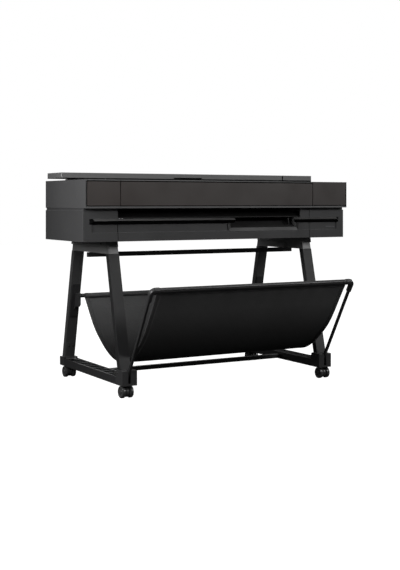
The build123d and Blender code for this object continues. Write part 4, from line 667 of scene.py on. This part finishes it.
# %% [markdown]
# ## The front rail of the basket
# The bar that carries the cloth's front edge is an extruded aluminium tube with a groove along its front
# and a thin lip below it: the cloth's beaded edge is held in it. The groove is what draws the fine dark
# line along the bar. The outline is a circle with a notch cut in by lowering the radius round one angle.

# %% Extrude the grooved front rail
GROOVE_ANGLE = 183.0
GROOVE_HALF = 13.0
GROOVE_DEPTH = 4.6 * MM
GROOVE_FLAT = 0.7
RAIL_STEP = 3


def rail_outline(radius):
    """(y, z) outline of the rail; angle 180 degrees looks to the front."""
    outline = []
    for degrees in range(0, 360, RAIL_STEP):
        away = abs(degrees - GROOVE_ANGLE) / GROOVE_HALF
        depth = GROOVE_DEPTH if away < GROOVE_FLAT else GROOVE_DEPTH * max(0.0, (1.0 - away) / 0.3)
        r = radius - depth
        t = math.radians(degrees)
        outline.append((r * math.cos(t), r * math.sin(t)))
    return outline


rail_low, rail_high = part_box("basket_front_tube")
rail_rings = [
    [(x, front_tube.y + y, front_tube.z + z) for y, z in rail_outline(front_tube_r)]
    for x in (rail_low.x, rail_high.x)]
add_piece(
    "basket_front_rail", *skin(rail_rings), "stand_paint", "basket_frame", ["basket_front_tube"],
    math.radians(20))
print("front rail", round(rail_high.x - rail_low.x, 3), "m long")

# %% [markdown]
# ## The moulded corners of the basket
# A nylon elbow joins the front rail to each arm. It is a smooth bent sleeve: round where it grips the
# rail, and nearly square where it grips the flat arm. It could be two cylinders run together, but the
# real one has no hard corner, so a ring is carried along a bent path and changes shape on the way.

# %% Sweep an elbow from the rail down the arm
ELBOW_REACH = 34 * MM
ELBOW_DROP = 50 * MM
ELBOW_BEND = 17 * MM
ELBOW_INSET = 11 * MM
ELBOW_HALF = 12.6 * MM
ELBOW_LIP_HALF = 11.9 * MM
ARM_GRIP = (8.6 * MM, 9.4 * MM)
BEND_STEPS = 8
elbow_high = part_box("basket_elbows")[1]


def rounded_square(half_x, half_y, power, count=32):
    """Outline between a circle (power 2) and a square (large power)."""
    outline = []
    for i in range(count):
        t = 2 * math.pi * i / count
        c, s = math.cos(t), math.sin(t)
        outline.append((
            half_x * math.copysign(abs(c) ** (2 / power), c),
            half_y * math.copysign(abs(s) ** (2 / power), s)))
    return outline


def elbow(side):
    """Rings along the elbow: along the rail, round the bend, down the arm."""
    down = arm_down
    along = Vector((side, 0, 0))
    corner = Vector((side * (elbow_high.x - ELBOW_INSET), front_tube.y, front_tube.z))
    across = along.cross(down).normalized()
    stations = [(corner - along * (ELBOW_REACH - ELBOW_BEND * k), along) for k in (0.0, 0.12)]
    stations.append((corner - along * ELBOW_BEND * 1.05, along))
    hub = corner - along * ELBOW_BEND + down * ELBOW_BEND
    for i in range(BEND_STEPS + 1):
        t = math.pi / 2 * i / BEND_STEPS
        spot = hub + along * ELBOW_BEND * math.sin(t) - down * ELBOW_BEND * math.cos(t)
        stations.append((spot, along * math.cos(t) + down * math.sin(t)))
    stations += [(corner + down * d, down) for d in (ELBOW_BEND * 1.05, ELBOW_DROP - 3 * MM, ELBOW_DROP)]
    rings = []
    for number, (spot, heading) in enumerate(stations):
        share = number / (len(stations) - 1)
        outward = across.cross(heading).normalized()
        first_or_last = number in (0, len(stations) - 1)
        size = ELBOW_LIP_HALF if first_or_last else ELBOW_HALF
        halves = [size + (grip - size) * share for grip in ARM_GRIP]
        outline = rounded_square(*halves, 2 + 3 * share)
        rings.append([spot + outward * a + across * b for a, b in outline])
    return skin(rings)


add_piece(
    "basket_corner_joints", *join([elbow(-1), elbow(1)]), "stand_plastic", "basket_frame",
    ["basket_elbows"], math.radians(50))
print("two elbows, arms lean", round(math.degrees(math.atan2(arm_down.y, -arm_down.z)), 1), "degrees")

# %% [markdown]
# ## Casters
# Each corner stands on a swivelling twin-wheel caster: two wheels with rounded treads and dished outer
# faces, and between them a glossy hood that carries the stem. They turn and roll, so the wheels and the
# hood are separate pieces on separate bodies. Wheels are turned profiles. The hood is also a turned
# form round the axle, with a neck that rises to the foot.

# %% Turn the wheels
WHEEL_R = 25 * MM
WHEEL_WIDTH = 17 * MM
WHEEL_GAP_HALF = 9.5 * MM
AXLE_R = 3 * MM
# (distance from the inner face, radius) in millimetres: tread, rim, dished face and hub boss
WHEEL_OUTLINE = [
    (0.0, 4.0), (0.0, 20.0), (0.6, 22.6), (2.2, 24.4), (4.4, 25.0), (12.0, 25.0), (14.6, 24.3),
    (16.3, 22.4), (17.0, 20.2), (16.6, 18.6), (14.6, 17.6), (13.6, 15.4), (13.4, 9.2), (14.4, 8.2),
    (15.8, 7.8), (16.4, 6.8), (16.6, 3.0), (16.6, 0.4)]
# (distance from the axle, half width, rise) in millimetres along one spoke
SPOKE = ((8.0, 2.0, 1.6), (12.5, 1.5, 1.2), (17.4, 2.1, 1.8))
SPOKES = 5
SPOKE_SINK = 4.2 * MM


def wheel_profile(inner, direction):
    """(x, radius) outline of one wheel, from its inner face out."""
    return [(inner + direction * x * MM, r * MM) for x, r in WHEEL_OUTLINE]


def spokes(centre, outer, direction):
    """Low ribs across the dished face."""
    shapes = []
    for i in range(SPOKES):
        t = 2 * math.pi * i / SPOKES + 0.3
        radial = Vector((0, math.cos(t), math.sin(t)))
        aside = Vector((0, -math.sin(t), math.cos(t)))
        rings = []
        for r, half, rise in SPOKE:
            base = Vector(centre) + radial * r * MM
            low = Vector((outer - direction * SPOKE_SINK - centre[0], 0, 0))
            high = low + Vector((direction * rise * MM, 0, 0))
            rings.append([
                base + low - aside * half * MM, base + high - aside * half * 0.6 * MM,
                base + high + aside * half * 0.6 * MM, base + low + aside * half * MM])
        shapes.append(skin(rings))
    return shapes


def wheel_pair(corner):
    """Two wheels and their axle."""
    node = "caster_wheels_" + corner
    centre = middle(node)
    gap = WHEEL_GAP_HALF
    shapes = [turned([(-gap, AXLE_R), (gap, AXLE_R)], centre, count=20)]
    for direction in (-1, 1):
        shapes.append(turned(wheel_profile(direction * gap, direction), centre, count=56))
        shapes += spokes(centre, centre.x + direction * (gap + WHEEL_WIDTH), direction)
    return add_piece("caster_rollers_" + corner, *join(shapes), "wheel_tread", "wheels_" + corner, [node])


# %% Shape the hood between the wheels
HOOD_HALF = 8.7 * MM
HOOD_R = 21 * MM
STEM_INSET = 8 * MM
STEM_R = 5.4 * MM
COLLAR = 3 * MM
NECK_START = 6 * MM


def hood(corner):
    """Glossy centre body with a rounded nose, a neck and the stem's collar."""
    node = "caster_horn_" + corner
    low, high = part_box(node)
    axle = middle("caster_wheels_" + corner)
    half = HOOD_HALF
    flank = [(half, 4 * MM), (half, 16 * MM), (half - 0.8 * MM, 19 * MM), (half * 0.55, 20.7 * MM)]
    body = turned([(-x, r) for x, r in flank] + [(0, HOOD_R)] + flank[::-1], axle, count=56)
    stem = Vector((axle.x, high.y - STEM_INSET, 0))
    top = foot_low.z - 0.3 * MM
    neck = []
    for share in (0.0, 0.25, 0.5, 0.75, 1.0):
        z = axle.z + NECK_START + (top - 2 * MM - axle.z - NECK_START) * share
        y = axle.y + (stem.y - axle.y) * share ** 0.8
        outline = rounded_square(half * (1 - 0.05 * share), (13 - 4.5 * share) * MM, 2.6, 28)
        neck.append([(axle.x + a, y + b, z) for a, b in outline])
    collar = turned(
        [(0, 8 * MM), (0.4 * MM, 8.4 * MM), (2.6 * MM, 8.4 * MM), (COLLAR, 8 * MM)],
        (stem.x, stem.y, top - COLLAR), "Z", 32)
    pin = turned([(0, STEM_R), (high.z - top, STEM_R)], (stem.x, stem.y, top), "Z", 24)
    shapes = [body, skin(neck), collar, pin]
    return add_piece(
        "caster_hood_" + corner, *join(shapes), "caster_plastic", "caster_" + corner, [node])


for corner in ("front_left", "front_right", "rear_left", "rear_right"):
    wheel_pair(corner)
    hood(corner)
print("four casters, wheel radius", WHEEL_R)

# %% [markdown]
# ## Screws
# Button-head screws hold the feet and the brackets. The heads are small, but their hexagon sockets are
# what tells the eye that the frame is bolted together. A head is a dome of rings stacked in the direction
# it faces, and its last rings step inwards to six corners and down into the socket.

# %% Button heads with hexagon sockets
HEAD_DOME = ((0.0, 1.0), (0.7, 0.98), (1.2, 0.86), (1.5, 0.7), (1.6, 0.55))
SOCKET_RISES = (1.6, 0.5)
SOCKET_SHARE = 0.48
HEAD_POINTS = 24
SMALL_HEAD_R = 3.5 * MM
BRACKET_HEAD_R = 4.0 * MM
CAP_SCREW_BACK = 48 * MM
CAP_SCREW_DROP = 14 * MM
BRACKET_SCREWS_BACK = (150 * MM, 400 * MM)
BRACKET_SCREW_DROP = 12.25 * MM
LEG_INSET = 24.5 * MM
LEG_SCREWS = (-10 * MM, 10 * MM)
LEG_SCREW_HEIGHT = 142 * MM
LEG_SCREW_SINK = 0.8 * MM
PIN_X = 490 * MM
PIN_HALF = 26.5 * MM
PIN_R = 2.9 * MM


def button_head(place, outward, radius):
    """Domed head on a face that looks along outward, with a hexagon socket."""
    outward = Vector(outward)
    first = outward.orthogonal().normalized()
    second = outward.cross(first)
    rings = []
    for rise, share in HEAD_DOME:
        turns = [math.pi * i / 12 for i in range(HEAD_POINTS)]
        rings.append([(math.cos(t) * share, math.sin(t) * share, rise) for t in turns])
    for rise in SOCKET_RISES:
        ring = []
        for i in range(HEAD_POINTS):
            corner, share = divmod(i, 4)
            t0, t1 = math.pi * corner / 3, math.pi * (corner + 1) / 3
            a = Vector((math.cos(t0), math.sin(t0))).lerp(Vector((math.cos(t1), math.sin(t1))), share / 4)
            ring.append((SOCKET_SHARE * a.x, SOCKET_SHARE * a.y, rise))
        rings.append(ring)
    return skin([
        [Vector(place) + (first * a + second * b) * radius + outward * rise * MM for a, b, rise in ring]
        for ring in rings])


def screw_places(side):
    """(place, outward, radius) of the heads on one side, where the CAD holds them."""
    outer = side * foot_high.x
    cap_low, cap_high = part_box("foot_end_caps")
    leg_x = side * (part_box("rear_legs")[1].x - LEG_INSET)
    head_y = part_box("screws")[1].y - LEG_SCREW_SINK
    bracket_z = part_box("top_brackets")[1].z - BRACKET_SCREW_DROP
    outward = (side, 0, 0)
    places = [((outer, cap_low.y + CAP_SCREW_BACK, cap_high.z - CAP_SCREW_DROP), outward, SMALL_HEAD_R)]
    places += [((outer, front_face + d, bracket_z), outward, BRACKET_HEAD_R) for d in BRACKET_SCREWS_BACK]
    places += [((leg_x + d, head_y, LEG_SCREW_HEIGHT), (0, -1, 0), SMALL_HEAD_R) for d in LEG_SCREWS]
    return places


def all_screws():
    """Heads on both sides, and the pins on which the arms fold."""
    shapes = []
    for side in (-1, 1):
        shapes += [button_head(*screw) for screw in screw_places(side)]
        pivot = arm_pivot + Vector((side * PIN_X, 0, 0))
        shapes.append(turned([(-PIN_HALF, PIN_R), (PIN_HALF, PIN_R)], pivot, count=20))
    return join(shapes)


add_piece("screw_heads", *all_screws(), "screw_steel", "root", ["screws"], math.radians(28))
print(len(screw_places(1)) * 2, "screws")

# %% [markdown]
# ## The catch basket
# The basket is one length of canvas. Its rear end is a sleeve sewn round the rear tube, its front end is
# beaded into the rail, and between them it hangs in a deep curve under its own weight. A cloth
# simulation of so plain a shape gives back the same curve after minutes, so the curve is drawn as a
# Bezier line, and small waves are added where real canvas shows them: along the free side edges and just
# below the rail. The hems are folded double, so the sheet is thicker there, and carries stitching.

# %% Draw the hanging line
fabric_low, fabric_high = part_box("basket_fabric")
SHEET_HALF = (fabric_high.x - fabric_low.x) / 2
SHEET_LOW = fabric_low.z + 1.3 * MM
SLEEVE_R = rear_tube_r + 1.0 * MM
SLEEVE_STEPS = 22
LINE_STEPS = 96
# The lowest line lies this far nearer the front than halfway between the tubes.
LOW_LEAD = 14 * MM
# Knots between a tube and the lowest line, as shares of the way in Y and of the rise in Z.
FRONT_KNOT = (0.44, 0.33)
REAR_KNOT = (0.62, 0.36)


def hanging_line():
    """Points of the cloth's middle line in the side plane, from the front rail to the rear tube."""
    start = Vector((0, front_tube.y, front_tube.z)) + arm_down * (front_tube_r - 1.5 * MM)
    end = Vector((0, rear_tube.y + SLEEVE_R * 0.92, rear_tube.z - SLEEVE_R * 0.4))
    mid_y = (front_tube.y + rear_tube.y) / 2 - LOW_LEAD
    front_y = start.y + FRONT_KNOT[0] * (mid_y + LOW_LEAD - start.y)
    front_z = SHEET_LOW + FRONT_KNOT[1] * (start.z - SHEET_LOW)
    rear_y = mid_y + LOW_LEAD + REAR_KNOT[0] * (rear_tube.y - mid_y - LOW_LEAD)
    rear_z = SHEET_LOW + REAR_KNOT[1] * (rear_tube.z - SHEET_LOW)
    between = [Vector((0, y, z)) for y, z in ((front_y, front_z), (mid_y, SHEET_LOW), (rear_y, rear_z))]
    knots = [start, *between, end]
    ahead = [knots[1] - knots[0]] + [(b - a) for a, b in zip(knots, knots[2:])] + [knots[-1] - knots[-2]]
    line = []
    for i in range(len(knots) - 1):
        span = (knots[i + 1] - knots[i]).length / 3
        left = knots[i] + ahead[i].normalized() * span
        right = knots[i + 1] - ahead[i + 1].normalized() * span
        line += interpolate_bezier(knots[i], left, right, knots[i + 1], LINE_STEPS // 4 + 1)[:-1]
    return line + [knots[-1]]


def sleeve_line():
    """The sleeve's turn round the rear tube, from its rear side over the top to the seam below."""
    turn = arc((rear_tube.y, rear_tube.z), SLEEVE_R, -24, 236, SLEEVE_STEPS)
    return [Vector((0, y, z)) for y, z in turn]


cloth_line = hanging_line()[:-1] + sleeve_line()

# %% [markdown]
# The sheet is a closed mesh: an upper and a lower surface, half a thickness to each side of the middle
# line. Columns crowd together at the hems so that the fold's step is crisp. The UV map holds the flat
# position of every point, which is what the weave reads.

# %% Build the sheet with its hems and its flat coordinates
HEM = 16 * MM
CLOTH = 0.9 * MM
FOLD = 2.1 * MM
GATHER_DEPTH = 1.4 * MM
GATHER_FADE = 0.045
SIDE_WAVE = 2.6 * MM
DRIFT = 2.2 * MM
COLUMNS = 110


def column_places():
    """Flat X of every column: close together round the hems."""
    edge = [0.0, 0.4 * MM, 6 * MM, HEM - 0.5 * MM, HEM, HEM + 0.5 * MM, HEM + 8 * MM]
    inner = np.linspace(-SHEET_HALF + HEM + 16 * MM, SHEET_HALF - HEM - 16 * MM, COLUMNS)
    return [-SHEET_HALF + e for e in edge] + list(inner) + [SHEET_HALF - e for e in reversed(edge)]


def ripple(x, along, share):
    """How far the cloth leaves its smooth line at a flat place: side waves, gathers and a slow drift."""
    free = math.sin(math.pi * min(1.0, max(0.0, share))) ** 1.2
    edge = max(0.0, (abs(x) - 0.7 * SHEET_HALF) / (0.3 * SHEET_HALF)) ** 2
    side_wave = SIDE_WAVE * edge * free * math.sin(along * 17.0 + (1.3 if x > 0 else 0.0))
    gather = GATHER_DEPTH * math.exp(-along / GATHER_FADE) * math.sin(x * 74.0 + 0.6 * math.sin(x * 23.0))
    gather *= min(1.0, along / (12 * MM))
    drift = DRIFT * free * math.sin(x * 5.1 + 0.7) * math.sin(along * 6.3)
    return side_wave + gather + drift


def thickness(x, along):
    """Double at the side hems and at the bead below the rail."""
    folded = SHEET_HALF - abs(x) < HEM + 0.2 * MM or along < 20 * MM
    return FOLD if folded else CLOTH


def line_frames(line):
    """(point, normal, flat distance) along the middle line; the normal points to the hollow side."""
    frames, gone = [], 0.0
    for i, point in enumerate(line):
        before, after = line[max(0, i - 1)], line[min(len(line) - 1, i + 1)]
        way = (after - before).normalized()
        if i:
            gone += (point - line[i - 1]).length
        frames.append((point, Vector((0, -way.z, way.y)), gone))
    return frames


def surface_point(x, frame_here, hang, lift):
    """Point of the rippled cloth, raised by lift along its normal."""
    point, normal, gone = frame_here
    off = ripple(x, gone, gone / hang) if gone < hang else 0.0
    return Vector((x, point.y, point.z)) + normal * (off + lift)


def build_sheet():
    """Closed sheet over the middle line, with its flat coordinates as UVs."""
    columns = column_places()
    frames = line_frames(cloth_line)
    hang = frames[-(SLEEVE_STEPS + 2)][2]
    across, along = len(columns), len(frames)
    points = []
    for side in (1, -1):
        for here in frames:
            points += [surface_point(x, here, hang, side * thickness(x, here[2]) / 2) for x in columns]
    faces = []
    layer = across * along
    for r in range(along - 1):
        for c in range(across - 1):
            a = r * across + c
            faces.append((a, a + 1, a + across + 1, a + across))
            faces.append((layer + a, layer + a + across, layer + a + across + 1, layer + a + 1))
    for r in range(along - 1):
        for c in (0, across - 1):
            a, b = r * across + c, (r + 1) * across + c
            faces.append((a, b, layer + b, layer + a))
    for c in range(across - 1):
        for r in (0, along - 1):
            a = r * across + c
            faces.append((a, a + 1, layer + a + 1, layer + a))
    sheet = add_piece("basket_cloth", points, faces, "fabric", None, ["basket_fabric"], math.radians(60))
    flat = sheet.data.uv_layers.new(name="flat_cloth")
    places = [(x, here[2]) for here in frames for x in columns] * 2
    for loop in sheet.data.loops:
        flat.data[loop.index].uv = places[loop.vertex_index]
    return sheet, frames, hang


cloth, cloth_frames, hang_length = build_sheet()
print("cloth has", len(cloth.data.vertices), "points")

# %% [markdown]
# Stitching is real thread: short capsules that lie half sunk in the hem, a little apart, like the runs of
# a lock stitch. They are placed on the same rippled surface, so they follow it exactly.

# %% Sew the hems
STITCH = 3.2 * MM
STITCH_PITCH = 4.4 * MM
THREAD_R = 0.35 * MM


def at_length(gone):
    """(point, normal, distance) of the cloth's middle line at a flat distance from the rail."""
    for a, b in zip(cloth_frames, cloth_frames[1:]):
        if b[2] >= gone:
            share = (gone - a[2]) / (b[2] - a[2])
            return a[0].lerp(b[0], share), a[1].lerp(b[1], share).normalized(), gone
    return cloth_frames[-1]


def stitch(start, end, normal):
    """One run of thread, sunk at both ends."""
    way = (end - start).normalized()
    aside = way.cross(normal).normalized()
    rings = []
    for share, r in ((0.0, 0.35), (0.15, 0.85), (0.5, 1.0), (0.85, 0.85), (1.0, 0.35)):
        spot = start.lerp(end, share) + normal * (math.sin(math.pi * share) - 0.5) * THREAD_R
        rings.append([
            spot + (aside * math.cos(t) + normal * math.sin(t)) * THREAD_R * r
            for t in (math.pi * k / 3 for k in range(6))])
    return skin(rings)


def sew():
    """Two rows along each side hem and two under the rail, seen from both faces of the cloth."""
    shapes = []
    for face in (1, -1):
        for side in (-1, 1):
            for inset in (HEM - 3 * MM, HEM - 6 * MM):
                x = side * (SHEET_HALF - inset)
                for i in range(int((hang_length - 24 * MM) / STITCH_PITCH)):
                    gone = 22 * MM + i * STITCH_PITCH
                    ends = [at_length(g) for g in (gone, gone + STITCH)]
                    lift = face * FOLD / 2
                    a, b = (surface_point(x, e, hang_length, lift) for e in ends)
                    shapes.append(stitch(a, b, ends[0][1] * face))
        for gone in (17 * MM, 14 * MM):
            here = at_length(gone)
            for i in range(int(2 * (SHEET_HALF - HEM) / STITCH_PITCH)):
                x = -SHEET_HALF + HEM + i * STITCH_PITCH
                a, b = (surface_point(v, here, hang_length, face * FOLD / 2) for v in (x, x + STITCH))
                shapes.append(stitch(a, b, here[1] * face))
    return join(shapes)


threads = add_piece("basket_stitching", *sew(), "fabric", None, (), math.radians(80))
print("stitching has", len(threads.data.polygons), "faces")

# %% [markdown]
# The basket folds: the front rail swings up and back on its arms, while the rear tube stays. Here the
# cloth and its stitching are only fixed in place: their placement is baked into their meshes.

# %% Bake the placement of the cloth and the stitching
for piece in (cloth, threads):
    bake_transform(piece)

# %% [markdown]
# ## Small trim
# A blank plate sits in the pocket at the right end, where such machines carry their model plate. It is
# left plain. The screen has a thin raised bezel.

# %% Blank plate in the right end of the pocket
PLATE_RISE = 0.5 * MM
PLATE_X = (98 * MM, 48 * MM)
PLATE_Z = (47 * MM, 52 * MM)
POCKET_DEPTH = 4 * MM


def blank_plate():
    """Thin bevelled plate on the pocket's face, which looks to the front."""
    end_low, end_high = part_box("lower_right_end")
    x0, x1 = (end_high.x - back for back in PLATE_X)
    z0, z1 = (end_low.z + up for up in PLATE_Z)
    y = end_low.y + POCKET_DEPTH
    rings = []
    for out, inset in ((0.0, 0.0), (PLATE_RISE * 0.7, 0.0), (PLATE_RISE, 0.3 * MM)):
        rings.append([
            (x0 + inset, y - out, z0 + inset), (x1 - inset, y - out, z0 + inset),
            (x1 - inset, y - out, z1 - inset), (x0 + inset, y - out, z1 - inset)])
    return skin(rings)


add_piece("blank_plate", *blank_plate(), "carriage_plastic", "root")

# %% Bezel round the screen
screen_low, screen_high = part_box("touch_screen")
BEZEL_HALF = 1.1 * MM
BEZEL_RISE = 0.45 * MM
BEZEL_POINTS = 12


def bezel():
    """Frame of four rounded strips round the screen."""
    path = [
        (screen_low.x, screen_low.y), (screen_high.x, screen_low.y), (screen_high.x, screen_high.y),
        (screen_low.x, screen_high.y)]
    centre = middle("touch_screen")
    rings = []
    for x, y in path:
        out = Vector((math.copysign(1, x - centre.x), math.copysign(1, y - centre.y), 0))
        spot = Vector((x, y, screen_high.z)) + out * BEZEL_HALF * 0.2
        rings.append([
            spot + out * BEZEL_HALF * math.cos(t) + Vector((0, 0, BEZEL_RISE * math.sin(t)))
            for t in (math.pi * k / 6 for k in range(BEZEL_POINTS))])
    points, faces = skin(rings)
    faces = faces[1:-1]
    count = BEZEL_POINTS
    a, b = 3 * count, 0
    faces += [(a + i, a + (i + 1) % count, b + (i + 1) % count, b + i) for i in range(count)]
    return points, faces


add_piece("screen_bezel", *bezel(), "inner_black", "control_panel")
print("screen", round(screen_high.x - screen_low.x, 3), "m wide")

# %% [markdown]
# ## Floor and light
# The machine stands in an empty white studio. The floor is a wide plane that glows white for the camera
# only. For everything else it is a dim grey, so it throws almost no light up under the dark machine. Soft
# boxes stand to the left, in front, above, to the right and behind, as in a product studio. The left one is
# near the front corner, which makes the side face fade from front to rear.

# %% Pale floor
FLOOR_HALF = 14.0


def pale_floor():
    """Wide plane whose brightness is for the camera; the object sees a darker one."""
    corners = [(x * FLOOR_HALF, y * FLOOR_HALF, 0) for x, y in ((-1, -1), (1, -1), (1, 1), (-1, 1))]
    mesh = bpy.data.meshes.new("studio_floor")
    mesh.from_pydata(corners, [], [(0, 1, 2, 3)])
    floor = bpy.data.objects.new("studio_floor", mesh)
    bpy.context.scene.collection.objects.link(floor)
    material = bpy.data.materials.new("studio_floor")
    material.use_nodes = True
    tree = material.node_tree
    tree.nodes.remove(tree.nodes["Principled BSDF"])
    seen = put(tree, "LightPath").outputs["Is Camera Ray"]
    matt = put(tree, "BsdfDiffuse", {"Color": (0.3, 0.3, 0.3, 1)})
    glow = put(tree, "Emission", {"Color": (1, 1, 1, 1), "Strength": 1.0})
    bright = put(tree, "AddShader", {0: matt.outputs[0], 1: glow.outputs[0]})
    dim = put(tree, "BsdfDiffuse", {"Color": (0.06, 0.06, 0.06, 1)})
    both = put(tree, "MixShader", {"Fac": seen, 1: dim.outputs[0], 2: bright.outputs[0]})
    tree.links.new(both.outputs[0], tree.nodes["Material Output"].inputs["Surface"])
    mesh.materials.append(material)


pale_floor()


# %% Soft boxes and the studio's own light
def soft_box(name, place, target, width, height, watts, spread=180):
    """Rectangular area light that looks at a point; a small spread keeps its light to one part."""
    data = bpy.data.lights.new(name, "AREA")
    data.shape = "RECTANGLE"
    data.size = width
    data.size_y = height
    data.energy = watts
    data.spread = math.radians(spread)
    lamp = bpy.data.objects.new(name, data)
    lamp.location = place
    lamp.rotation_euler = (Vector(target) - Vector(place)).to_track_quat("-Z", "Y").to_euler()
    bpy.context.scene.collection.objects.link(lamp)


def studio_air():
    """White backdrop for the camera, dim grey light for everything else."""
    world = bpy.data.worlds.new("studio_air")
    world.use_nodes = True
    tree = world.node_tree
    seen = put(tree, "LightPath").outputs["Is Camera Ray"]
    backdrop = put(tree, "Background", {"Color": (1, 1, 1, 1), "Strength": 1.0})
    upward = put(tree, "SeparateXYZ", {0: put(tree, "TexCoord").outputs["Generated"]}).outputs["Z"]
    fade = remap(tree, upward, -0.1, 0.9, 0.02, 0.36)
    air = put(tree, "Background", {"Color": (1, 1, 1, 1), "Strength": fade})
    shown = put(tree, "MixShader", {"Fac": seen, 1: air.outputs[0], 2: backdrop.outputs[0]})
    tree.nodes.remove(tree.nodes["Background"])
    tree.links.new(shown.outputs[0], tree.nodes["World Output"].inputs["Surface"])
    bpy.context.scene.world = world


studio_air()
soft_box("left_box", (-1.75, -0.5, 1.15), (-0.66, -0.28, 0.66), 0.7, 0.8, 7.5, 90)
soft_box("front_box", (2.7, -3.9, 2.5), (0.35, -0.2, 0.75), 1.8, 1.2, 66)
soft_box("top_box", (0, 0.3, 3.2), (0, 0, 0.5), 3.2, 1.6, 14)
soft_box("right_box", (3.4, -0.5, 1.6), (0.4, 0, 0.7), 1.6, 1.8, 20)
soft_box("rear_box", (0.4, 3.8, 1.8), (0, 0, 0.7), 2.6, 1.6, 30)
bpy.context.scene.view_settings.view_transform = "Standard"
print("five soft boxes")
